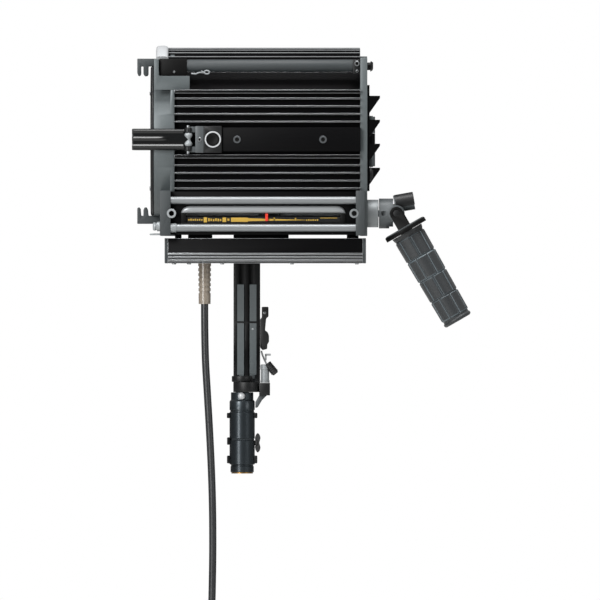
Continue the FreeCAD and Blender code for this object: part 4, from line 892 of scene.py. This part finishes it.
@dataclass
class SideLatch(Assembly):
    """The latch on the near side: ridged pull, waisted barrel, plate with its screw, ring and button."""

    hinge: Point = (-64.7, -95, 401.4)
    half: float = 16.0
    pull_x: Span = (-132, -69.4)
    pull_inner: float = -90.6
    pull_outer: float = -96.4
    pull_half: float = 13.0
    pull_steps: int = 30
    edge_width: float = 1.4
    edge_drop: float = 2.2
    ridge_pitch: float = 9.2
    ridge_middle: float = 1.2
    ridge_height: float = 1.7
    fade: Span = (-99, -88)
    prongs: Span = (-127, -118.5)
    prong_rear: float = -77.6
    plate_x: Span = (-56, -46)
    rail_face: float = -78.0
    screw_x: float = -51.0
    button: Point = (-34.9, -94, 401.4)

    def ridge(self, across: float, along: float) -> float:
        """Work out how far the pull's face stands out at a place.

        Args:
            across: the place's height over the latch's axis.
            along: its place along X.

        Returns:
            The ridge's height there.
        """
        wave = 0.5 + 0.5 * math.cos(math.tau * (across - self.ridge_middle) / self.ridge_pitch)
        rise = wave ** 3
        if abs(across - self.ridge_middle) < self.ridge_pitch / 2:
            faded = min(1, max(0, (along - self.fade[0]) / (self.fade[1] - self.fade[0])))
            rise *= 1 - faded * faded * (3 - 2 * faded)
        return self.ridge_height * rise

    def pull(self) -> None:
        """Make the pull with its two prongs and the tongue to the barrel."""
        axis_z = self.hinge[2]
        inner, (front, rear) = self.pull_inner, self.pull_x
        stations = [front + 0.8 * step for step in range(4)]
        stations += [stations[3] + (rear - stations[3]) * (step + 1) / self.pull_steps
                     for step in range(self.pull_steps)]
        rings = []
        for along in stations:
            shrink = 1 - 0.05 * max(0, 1 - (along - front) / 2.4) ** 2
            ring = []
            for step in range(41):
                across = self.pull_half * (1 - step / 20)
                edge = max(0, (abs(across) - self.pull_half + self.edge_width) / self.edge_width)
                out = self.pull_outer - self.ridge(across, along) * (1 - edge) + self.edge_drop * edge ** 2
                ring.append((along, inner + (out - inner) * shrink, axis_z + across * shrink))
            for side in SIDES:
                ring.append((along, inner, axis_z + side * (self.pull_half - 0.5) * shrink))
            rings.append(ring)
        mesh = bmesh.new()
        lofted(mesh, rings)
        for start in self.prongs:
            block(mesh, (start, inner - 0.8, axis_z - 7), (start + 4, self.prong_rear, axis_z + 7))
        block(mesh, (rear - 1.2, -98, axis_z - 7.6), (self.hinge[0], -91.4, axis_z + 7.6))
        self.add("latch_pull", mesh, LACQUER, replaces="latch_lever")

    def barrel(self) -> None:
        """Make the waisted barrel of the pull and the two plain barrels of the plate."""
        waist = []
        for step in range(25):
            reach = -7.5 + 15.0 * step / 24
            waist.append((reach, 2.9 + 2.2 * math.sin(math.pi * abs(reach) / 10.6) ** 2))
        self.turn("latch_barrel", self.hinge, "z", [(-7.7, 0), (-7.7, 3.8), *waist, (7.7, 3.8), (7.7, 0)],
                  BLASTED_GREY, slot="bright_metal", body="latch_lever")
        mesh = bmesh.new()
        for side in SIDES:
            turned(mesh, self.hinge, "z",
                   [(side * 8, 0), (side * 8, 3.9), (side * 8.5, 4.3), (side * 13.4, 4.3),
                    (side * 14.2, 3.7), (side * 14.2, 0)])
        self.add("latch_end_barrels", mesh, BLACK_PAINT)

    def plate(self) -> None:
        """Make the plate that carries the end barrels, and its screw."""
        hinge_x, face, axis_z = self.hinge
        front, rear = self.plate_x
        low, high = axis_z - self.half, axis_z + self.half
        arms = [((hinge_x, face + 0.4, start + 0.6), (front + 1, face + 4.5, start + 7.4))
                for start in (low, high - 8)]
        self.blocks("latch_plate", [((front, face, low), (rear, self.rail_face, high)), *arms],
                    DARK_CASTING, 0.5, replaces="latch_base")
        self.heads("latch_plate_screw", "y", [((self.screw_x, face, axis_z), -1, 2.7, 0.9, 1.3)], STEEL,
                   slot="steel")

    def build(self) -> None:
        """Build the latch's pieces, with the bright ring and the dished button inside it."""
        self.pull()
        self.barrel()
        self.plate()
        self.turn("button_ring_turned", self.button, "y",
                  [(0.3, 8), (0.3, 9.9), (-0.9, 9.9), (-1.5, 9.5), (-1.6, 8.9), (-1.5, 8.3), (-0.9, 8),
                   (0.3, 8)], BLASTED, 56, replaces="button_ring")
        self.turn("latch_button_dished", self.button, "y",
                  [(9, 0), (9, 7.2), (-1.2, 7.2), (-1.9, 6.6), (-1.9, 5.6), (-1, 3.6), (-0.7, 0)],
                  RECESS, 56, replaces="latch_button")


@dataclass
class Guard(Assembly):
    """The guard rods, the bright hood over the scale, its dark frame and the printed scale."""

    rod_y: float = -93.0
    rod_x: Span = (-85.7, 136.6)
    rod_radius: float = 4.5
    upper_z: float = 328.4
    lower_z: float = 295.4
    nut: Point = (-98.4, -93, 297)
    stop: Point = (-98.4, -93, 287.6)
    cover_face: float = -87.5
    hood_x: Span = (-73, 124)
    hood_z: Span = (312.8, 321.8)
    hood_out: float = 4.6
    corner: float = 11.0
    corner_steps: int = 14
    window: Box = (-67, 118, 301.5, 312.5)
    frame_face: float = -89.1
    frame_floor: float = 299.0
    plate_face: float = -85.3
    ink_rise: float = 0.06
    ink_depth: float = 0.2
    bands: tuple[Box, ...] = (
        (-46, -42, 302, 308.1), (-23.4, -19, 302.4, 307.8), (-17.6, -15.2, 303.8, 306.6),
        (-13.2, 7.2, 302.6, 307.7), (38, 39.4, 304, 307.5), (63.5, 64.9, 304, 307.5),
        (93.6, 114, 306.9, 307.5))
    pointer: Spans = ((7.2, 303.4), (76, 304.6), (76, 305), (7.2, 306.9))

    def rods(self) -> None:
        """Make the two rods, and the collar, the end nut and the stop pin at the lower rod's front."""
        mesh = bmesh.new()
        front, rear = self.rod_x
        for place in (self.upper_z, self.lower_z):
            turned(mesh, (0, self.rod_y, place), "x", [(front, 0), (front, self.rod_radius),
                                                       (rear, self.rod_radius), (rear, 0)], steps=48)
        self.add("guard_rods_turned", mesh, SATIN_TUBE, replaces="guard_rods")
        self.turn("rod_collar", (front, self.rod_y, self.lower_z), "x",
                  [(0, 4.4), (0, 5.5), (6.4, 5.5), (7, 5.1), (7, 4.4)], BLASTED_GREY, 48, slot="steel")
        self.turn("rod_end_nut", self.nut, "x",
                  [(-8.6, 0), (-8.6, 3.6), (-7.8, 4.6), (-5.8, 5.2), (-5, 4.4), (-4, 4.4), (-3.2, 5.8),
                   (0, 5.8), (0, 0)], BLASTED_GREY, slot="steel")
        self.turn("block_stop_pin", self.stop, "x",
                  [(-12.4, 0), (-12.4, 0.5), (-11.6, 1.1), (0, 1.1), (0, 0)], BLASTED_GREY, 24, slot="steel")

    def hood(self) -> None:
        """Make the hood: a bright bead whose ends sweep down in quarter ellipses."""
        front, rear = self.hood_x
        floor, top = self.hood_z
        angles = [math.pi / 2 * step / self.corner_steps for step in range(1, self.corner_steps + 1)]
        stations = [(front + self.corner * (1 - math.cos(angle)), math.sin(angle)) for angle in angles]
        stations += [(front + rear - along, share) for along, share in reversed(stations)]
        rings = []
        for along, share in stations:
            ring = []
            for step in range(15):
                angle = math.pi * step / 14
                ring.append((along, self.cover_face - self.hood_out * share * math.sin(angle),
                             floor + (top - floor) * share * (1 + math.cos(angle)) / 2))
            rings.append(ring)
        mesh = bmesh.new()
        lofted(mesh, rings)
        self.add("scale_hood", mesh, SATIN_HOOD, replaces="scale_bezel")

    def marks(self) -> list[Box]:
        """Lay out the printed marks.

        Returns:
            The front, rear, floor and top of each.
        """
        made = [(-64.5 + 2.6 * step, -63.0 + 2.6 * step, 303.9, 305.9 + 0.5 * (step % 2))
                for step in range(7)]
        made += [(-40.6 + 2.8 * step, -38.8 + 2.8 * step, 303.3 + 0.3 * (step % 2), 306.9 - 0.5 * (step % 3))
                 for step in range(6)]
        made += [(76.8 + 2.6 * step, 78.4 + 2.6 * step, 303.9, 305.4 + 0.4 * (step % 2))
                 for step in range(6)]
        return [*made, *self.bands]

    def build(self) -> None:
        """Build the guard's pieces, with the window's frame, the needle, the keel's foot and the scale."""
        self.rods()
        self.hood()
        front, rear, low, high = self.window
        face, back = self.frame_face, self.cover_face
        bars = ((self.hood_x[0], rear + 6, self.frame_floor, low), (self.hood_x[0], front, low, high),
                (rear, self.hood_x[1], self.frame_floor, high))
        self.blocks("scale_frame", [((start, face, floor), (end, back, top))
                                    for start, end, floor, top in bars], RECESS, 0.4)
        self.blocks("needle_blade", [((27.9, -88.4, 303.6), (31.1, back, 312.4)),
                                     ((28.9, back - 0.1, 309.8), (30.1, -69, 311.8))], RED,
                    replaces="needle")
        self.blocks("keel_foot", [((-80.6, -39.4, 287.2), (141.6, 39.4, 290.6))], ANODISED, 0.4,
                    slot="black_anodised")
        mesh = bmesh.new()
        ink = self.plate_face - self.ink_rise
        for start, end, floor, top in self.marks():
            block(mesh, (start, ink, floor), (end, self.plate_face + self.ink_depth, top))
        extruded(mesh, [(along, ink, up) for along, up in self.pointer],
                 (0, self.ink_rise + self.ink_depth, 0))
        self.add("scale_marks", mesh, GOLD_INK, "scale_black")


@dataclass
class Claws(Assembly):
    """The two-pronged accessory claws around the lens ring: above, below and on the far side."""

    axis_z: float = 400.0
    half: float = 7.0
    upper: Spans = (
        (-126.2, 99.2), (-99, 99.2), (-99, 89.8), (-112.6, 89.8), (-112.6, 80.4), (-113.6, 78.2),
        (-116.8, 77.8), (-118.8, 80.6), (-118.8, 89.8), (-121.4, 89.8), (-121.4, 80.6), (-122.8, 78),
        (-125, 78.6), (-126.2, 82))
    lower: Spans = (
        (-126.2, -99.6), (-99, -99.6), (-99, -89.8), (-112.6, -89.8), (-113.2, -83),
        (-114.8, -79.6), (-117.4, -79.8), (-118.8, -83), (-118.8, -89.8), (-121.4, -89.8),
        (-122, -81.6), (-123.8, -79.4), (-126.2, -80.6))

    def claw(self, name: str, outline: Spans, angle: float = 0.0, replaces: str = "") -> None:
        """Make one claw.

        Args:
            name: the piece's name.
            outline: the claw's (along, up) points, up counted from the lens axis.
            angle: how far it is turned about the lens axis, in degrees.
            replaces: the node that it stands in for.
        """
        mesh = bmesh.new()
        extruded(mesh, [(along, -self.half, up) for along, up in outline], (0, 2 * self.half, 0))
        rounded(mesh, 0.7)
        placed(mesh, list(mesh.verts), (0, 0, self.axis_z), angle, "X")
        self.add(name, mesh, TEXTURED_GREY, replaces=replaces)

    def build(self) -> None:
        """Build the three claws; the first stands in for the simple ones."""
        self.claw("claw_upper", self.upper, replaces="claws")
        self.claw("claw_lower", self.lower)
        self.claw("claw_far", self.upper, -90)


@dataclass
class DoorKnob(Assembly):
    """The louvred door's round knob with its raised bar."""

    body: str = "door_knob"
    slot: str = "black_plastic"

    def build(self) -> None:
        """Build the knob's disc and bar."""
        self.turn("door_knob_disc", (153.4, -58, 360), "x",
                  [(0, 0), (0, 7.6), (0.5, 8), (1.5, 8), (2.1, 7.4), (2.1, 5.6), (1.5, 5.2), (1.5, 0)],
                  BLACK_PLASTIC, 48, replaces="door_knob")
        self.blocks("door_knob_bar", [((154.6, -60, 354.8), (157.4, -56, 365.2))], BLACK_PLASTIC, 0.7)


@dataclass
class Screws(Assembly):
    """The round socket screws on the rails, the scale cover, the lens ring and under the base."""

    slot: str = "steel"
    rail_face: float = 91.0
    rail_z: float = 401.4
    rail_places: tuple[tuple[float, int], ...] = ((-6, -1), (97.2, -1), (45, 1), (97.2, 1))
    cover_face: float = -87.5
    cover_z: float = 312.7
    cover_places: Spans = ((-84.6, 12.4), (134.6, 1.4))
    ring_face: float = -110.0
    ring_middle: float = 81.0
    axis_z: float = 400.0
    base_floor: float = 253.0
    base_half: float = 78.0
    base_places: tuple[float, ...] = (-82, -64, -24, 60, 138)

    def build(self) -> None:
        """Build each group of screws as one piece."""
        self.heads("rail_socket_screws", "y",
                   [((place, side * self.rail_face, self.rail_z), side, 4.6, 1.2, 2.6)
                    for place, side in self.rail_places], BLACK_STEEL, replaces="rail_screws")
        self.heads("cover_socket_screws", "y",
                   [((place, self.cover_face, self.cover_z), -1, 5.65, height, 3.2)
                    for place, height in self.cover_places], BLASTED_GREY, replaces="cover_screws")
        turns = [math.radians(45 + 90 * step) for step in range(4)]
        self.heads("lens_ring_screws", "x",
                   [((self.ring_face, self.ring_middle * math.cos(turn),
                      self.axis_z + self.ring_middle * math.sin(turn)), -1, 2.6, 1, 1.2)
                    for turn in turns], STEEL)
        self.heads("base_screws", "z",
                   [((place, side * self.base_half, self.base_floor), -1, 2.2, 1.3, 1)
                    for place in self.base_places for side in SIDES], STEEL)


@dataclass
class FocusHandle(Assembly):
    """The grip's padded rubber, the disc above it and the barrel of its knuckle."""

    body: str = "handle"
    slot: str = "bright_metal"
    pivot: Point = (185.3, -58, 312.7)
    drop_angle: float = 60.0
    disc: float = 26.4
    disc_hole: float = 9.2
    disc_x: Point = (18.6, 19.4, 20.2)
    knuckle: Point = (183, -58, 323.9)
    knuckle_inner: float = 10.3
    knuckle_angle: float = -10.0
    knuckle_sweep: float = 115.0
    rubber_x: Span = (25.3, 149)
    pads_x: Span = (31.3, 142)
    wide: float = 18.9
    narrow: float = 17.1
    rows: int = 4
    pads_around: int = 8
    pad_rise: float = 1.3
    groove: float = 0.45
    rim: float = 1.5
    bead_length: float = 5.0
    bead_rises: Span = (1.7, 2.2)
    around: int = 176
    lengthwise: int = 168

    def pad_distance(self, along: float, angle: float, radius: float) -> float:
        """Work out how far a place on the grip is from the nearest groove.

        Args:
            along: the place along the grip's axis.
            angle: its angle about that axis, in radians.
            radius: its distance from that axis.

        Returns:
            The distance, and zero outside the rows of pads.
        """
        first, last = self.pads_x
        if along <= first or along >= last:
            return 0.0
        length = (last - first) / self.rows
        row = int((along - first) / length)
        across = (along - first) - row * length
        share = (angle / math.tau * self.pads_around + 0.5 * (row % 2)) % 1.0
        return min(across, length - across, min(share, 1 - share) * math.tau * radius / self.pads_around)

    def rubber(self) -> None:
        """Make the rubber: a cone with rows of pads set like bricks, a collar and an end bead; the pads'
        sloping edges take a lighter grey, a painted highlight.
        """
        start, end = self.rubber_x
        rings = []
        for step in range(self.lengthwise + 1):
            share = step / self.lengthwise
            along = start + (end - start) * share
            near_start = max(0, 1 - (along - start) / self.bead_length)
            near_end = math.sin(math.pi * min(1, max(0, 1 - (end - along) / self.bead_length) + 0.04))
            bead = self.bead_rises[0] * math.sqrt(near_start) + self.bead_rises[1] * math.sqrt(abs(near_end))
            cone = self.wide + (self.narrow - self.wide) * share - self.pad_rise
            ring = []
            for place in range(self.around):
                angle = math.tau * place / self.around
                away = self.pad_distance(along, angle, cone)
                rise = min(1, max(0, (away - self.groove) / (self.rim - self.groove)))
                radius = cone + bead + self.pad_rise * rise * rise * (3 - 2 * rise)
                ring.append((along, radius * math.cos(angle), radius * math.sin(angle)))
            rings.append(ring)
        mesh = bmesh.new()
        made = lofted(mesh, rings)
        # the pads' sloping edges take the second finish, a painted highlight
        for face in mesh.faces:
            centre = face.calc_center_median()
            away = self.pad_distance(centre.x, math.atan2(centre.z, centre.y) % math.tau,
                                     math.hypot(centre.y, centre.z))
            if self.groove < away < self.rim and len(face.verts) == 4:
                face.material_index = 1
        placed(mesh, made, self.pivot, self.drop_angle)
        self.add("grip_rubber_padded", mesh, GRIP_RUBBER, replaces="grip_rubber", second=GRIP_PAD_HIGHLIGHT)

    def build(self) -> None:
        """Build the rubber, the disc square to the grip's axis, and the barrel."""
        self.rubber()
        mesh = bmesh.new()
        near, middle, far = self.disc_x
        made = turned(mesh, (0, 0, 0), "x",
                      [(near, self.disc_hole), (near, self.disc - 2.4), (middle, self.disc),
                       (far, self.disc), (far, self.disc_hole)], steps=64)
        placed(mesh, made, self.pivot, self.drop_angle)
        self.add("flange_disc", mesh, DARK_CASTING, "grey_casting")
        rings = []
        for along, outer in ((1.5, 10.9), (23.4, 10.9), (24.2, 10.3)):
            ring = []
            for reach, sweep in ((outer, self.knuckle_sweep), (self.knuckle_inner, -self.knuckle_sweep)):
                for step in range(25):
                    angle = math.radians(sweep * (step / 12 - 1))
                    ring.append((along, reach * math.sin(angle), reach * math.cos(angle)))
            rings.append(ring)
        mesh = bmesh.new()
        placed(mesh, lofted(mesh, rings), self.knuckle, self.knuckle_angle)
        self.add("knuckle_barrel", mesh, BLACK_PAINT, "black_paint")


@dataclass
class Yoke(Assembly):
    """The yoke's channel linings and levers, and the socket below it with its ears and wing screw."""

    body: str = "yoke"
    arm_x: float = 5.4
    strip: Span = (3.4, 11.6)
    lining_y: Span = (105.5, 111)
    # painted shade: the grey strips stop at 227.5 mm, and above it the channels are left black where shadow
    # falls under the head's base
    lining_z: Span = (183.2, 227.5)
    rivet: Point = (12.6, 105.6, 173.8)
    bend: Span = (34, 182)
    bend_reach: Span = (71.5, 77)
    bend_angles: Span = (1, 62)
    strap: Spans = ((30, 94.2), (20.5, 94.2), (15.9, 86), (15.9, 79), (18.8, 79.6),
                               (24, 88.4))
    lever_y: float = 103.6
    lever_wide: float = 11.0
    lever: Spans = (
        (21.6, 186), (23.4, 187.4), (23.4, 200.6), (31.6, 200.6), (31.6, 188.8), (28.8, 186.6),
        (27.4, 172), (30.6, 170), (32.2, 165.6), (32.2, 158.6), (30.2, 155), (30, 149.6),
        (24.4, 148.2), (21.6, 151))
    pan: Point = (27.5, 0, 109.3)
    pan_knob: Point = (35.2, -2, 126.4)
    pan_angle: float = 50.0
    wide: float = 15.2
    bore: float = 8.05
    bore_top: float = 60.0
    ears: tuple[Point, ...] = ((66.6, 73, 18.4), (12.2, 21.6, 18.3))
    neck: Point = (-0.8, -12.4, 93.2)
    wing_z: float = 37.0

    def linings(self) -> None:
        """Make the grey strips that fill the two channels, above and below the seam, and a rivet."""
        mesh = bmesh.new()
        inner, outer = self.bend_reach
        first, last = self.bend_angles
        for side in SIDES:
            near, far = sorted(self.arm_x + side * reach for reach in self.strip)
            block(mesh, (near, self.lining_y[0], self.lining_z[0]), (far, self.lining_y[1], self.lining_z[1]))
            rings = []
            for step in range(25):
                angle = math.radians(first + (last - first) * step / 24)
                rings.append([(along, self.bend[0] + reach * math.cos(angle),
                               self.bend[1] - reach * math.sin(angle))
                              for along, reach in ((near, inner), (far, inner), (far, outer), (near, outer))])
            lofted(mesh, rings)
        self.add("channel_strips", mesh, CHANNEL_GREY)
        self.turn("channel_rivet", self.rivet, "y", [(0, 1.5), (-0.7, 1.2), (-1, 0.6), (-1, 0)], BRIGHT,
                  20, slot="bright_metal")

    def arm_lever(self) -> None:
        """Make the arm lever: a square head, a tapered stem, a round hub and the lobe below it."""
        mesh = bmesh.new()
        extruded(mesh, [(along, self.lever_y, up) for along, up in self.lever], (0, self.lever_wide, 0))
        rounded(mesh, 1.3, segments=3)
        self.add("arm_lever_shaped", mesh, BLACK_PLASTIC, replaces="arm_lever")
        self.turn("arm_lever_pin", (26.6, self.lever_y, 193.6), "y",
                  [(0.4, 1.8), (-0.5, 1.8), (-0.9, 1.2), (-0.9, 0)], STEEL, 24, slot="steel",
                  body="arm_lever")

    def sprung_strip(self) -> None:
        """Make the sprung strip and its clip beside the arm, and the strap down to the socket."""
        rings = []
        for step in range(13):
            along, up = 21.9 + 8.2 * (step / 12) ** 1.3, 147.0 - 19.5 * step / 12
            rings.append([(along, 102, up), (along + 2, 102, up + 0.9), (along + 2, 110, up + 0.9),
                          (along, 110, up)])
        mesh = bmesh.new()
        lofted(mesh, rings)
        block(mesh, (27.2, 103, 141.6), (34.4, 109, 144))
        block(mesh, (27.2, 103, 136), (29.4, 109, 142.6))
        self.add("lever_strip", mesh, BLASTED, "bright_metal")
        mesh = bmesh.new()
        extruded(mesh, [(along, -4, up) for along, up in self.strap], (0, 8, 0))
        rounded(mesh, 0.6)
        self.add("socket_strap", mesh, DARK_CASTING)

    def pan_clamp(self) -> None:
        """Make the clamp: a bright post and a ridged knob that slopes down beside it."""
        self.turn("pan_post", self.pan, "z",
                  [(0, 0), (0, 5.5), (2.6, 5.5), (3, 5), (15.5, 5), (16, 5.5), (21.2, 5.5),
                   (22, 4.7), (22, 0)], BLASTED_GREY, 44, slot="steel", replaces="pan_lock")
        mesh = bmesh.new()
        outline = [(-8, 0), (-8, 3.4)]
        for start in (-7.2, -4.8, -2.4, 0, 2.4, 4.8):
            outline += [(start, 4.7), (start + 1.4, 4.7), (start + 1.8, 4.1)]
        made = turned(mesh, (0, 0, 0), "x", [*outline, (8.4, 3.2), (8.4, 0)], steps=36)
        placed(mesh, made, self.pan_knob, self.pan_angle)
        block(mesh, (self.pan[0], -4.4, 124.4), (36, 0.4, 129.6))
        self.add("pan_knob", mesh, BLACK_PLASTIC, "black_plastic", body="pan_lock")

    def socket(self) -> None:
        """Make the socket: a turned body with grooves, side ears and a bright bolt at its neck."""
        wide, near = self.wide, self.wide - 0.6
        edge = self.wide - 0.5
        mesh = bmesh.new()
        for side in SIDES:
            for low, high, reach in self.ears:
                start, end = sorted((side * (wide - 1.2), side * reach))
                block(mesh, (start, -5, low), (end, 5, high))
        block(mesh, (-18.2, -5, 34.6), (1.2 - wide, 5, 43.6))
        rounded(mesh, 1.1, segments=3)
        self.add("socket_ears", mesh, BLACK_PAINT, "gloss_black", body="socket")
        self.turn("socket_body", (0, 0, 0), "z",
                  [(1.5, self.bore), (1.5, 13.6), (1.9, 14), (8.6, 14), (9.2, 13.4), (10.6, 13.4),
                   (11.2, wide), (39.4, wide), (40, near), (40.2, 14.4), (41.6, 14.4), (41.9, near),
                   (42.4, wide), (73.4, wide), (74, edge), (74.3, 14.3), (75.9, 14.3), (76.2, edge),
                   (76.8, wide), (86.6, wide), (87.4, edge), (88.8, 13.5), (97.4, 13.5), (97.7, 13.1),
                   (97.7, 8), (116.7, 8), (117.3, 7.4), (117.3, 0), (self.bore_top, 0),
                   (self.bore_top, self.bore), (1.5, self.bore)],
                  GLOSS_BLACK, 64, replaces="spigot_socket")
        self.turn("neck_bolt", self.neck, "y",
                  [(0, 4.3), (-2, 4.3), (-3.4, 3.7), (-4.5, 2.6), (-5.1, 1.3), (-5.3, 0)], BLASTED,
                  slot="bright_metal", body="socket")

    def wing(self) -> None:
        """Make the wing screw on the socket's side."""
        mesh = bmesh.new()
        turned(mesh, (0, 0, self.wing_z), "x", [(9, 0), (9, 3), (16, 3), (16.2, 4.6),
                                                (17.8, 4.6), (18.2, 3.8), (18.2, 0)], steps=32)
        rings = []
        for step in range(17):
            share = step / 8 - 1
            half = (0.7 + 0.3 * math.sin(math.pi * abs(share)) ** 2) * math.sqrt(max(0.04, 1 - share ** 6))
            up = self.wing_z + 11.6 * share
            lean = 18.2 + 0.5 * abs(share)
            near, far = lean - 3.06 * half, lean + 3.6 * half
            rings.append([(near, -2.6, up), (far, -2.6, up), (far, 2.6, up), (near, 2.6, up)])
        lofted(mesh, rings)
        self.add("socket_wing", mesh, BLACK_PLASTIC, replaces="socket_lock")

    def build(self) -> None:
        """Build the yoke's and the socket's pieces."""
        self.linings()
        self.arm_lever()
        self.sprung_strip()
        self.pan_clamp()
        self.socket()
        self.wing()


def main() -> None:
    """Build the studio, the cord and the dressed sub-assemblies in order."""
    logging.basicConfig(level=logging.INFO, format="%(name)s %(message)s")
    Studio().build()
    dress_nodes()
    for assembly in (TopDeck(), SideLatch(), Guard(), Claws(), DoorKnob(), Screws(), FocusHandle(), Yoke(),
                     MainsLead()):
        assembly.build()


if __name__ == "__main__":
    main()
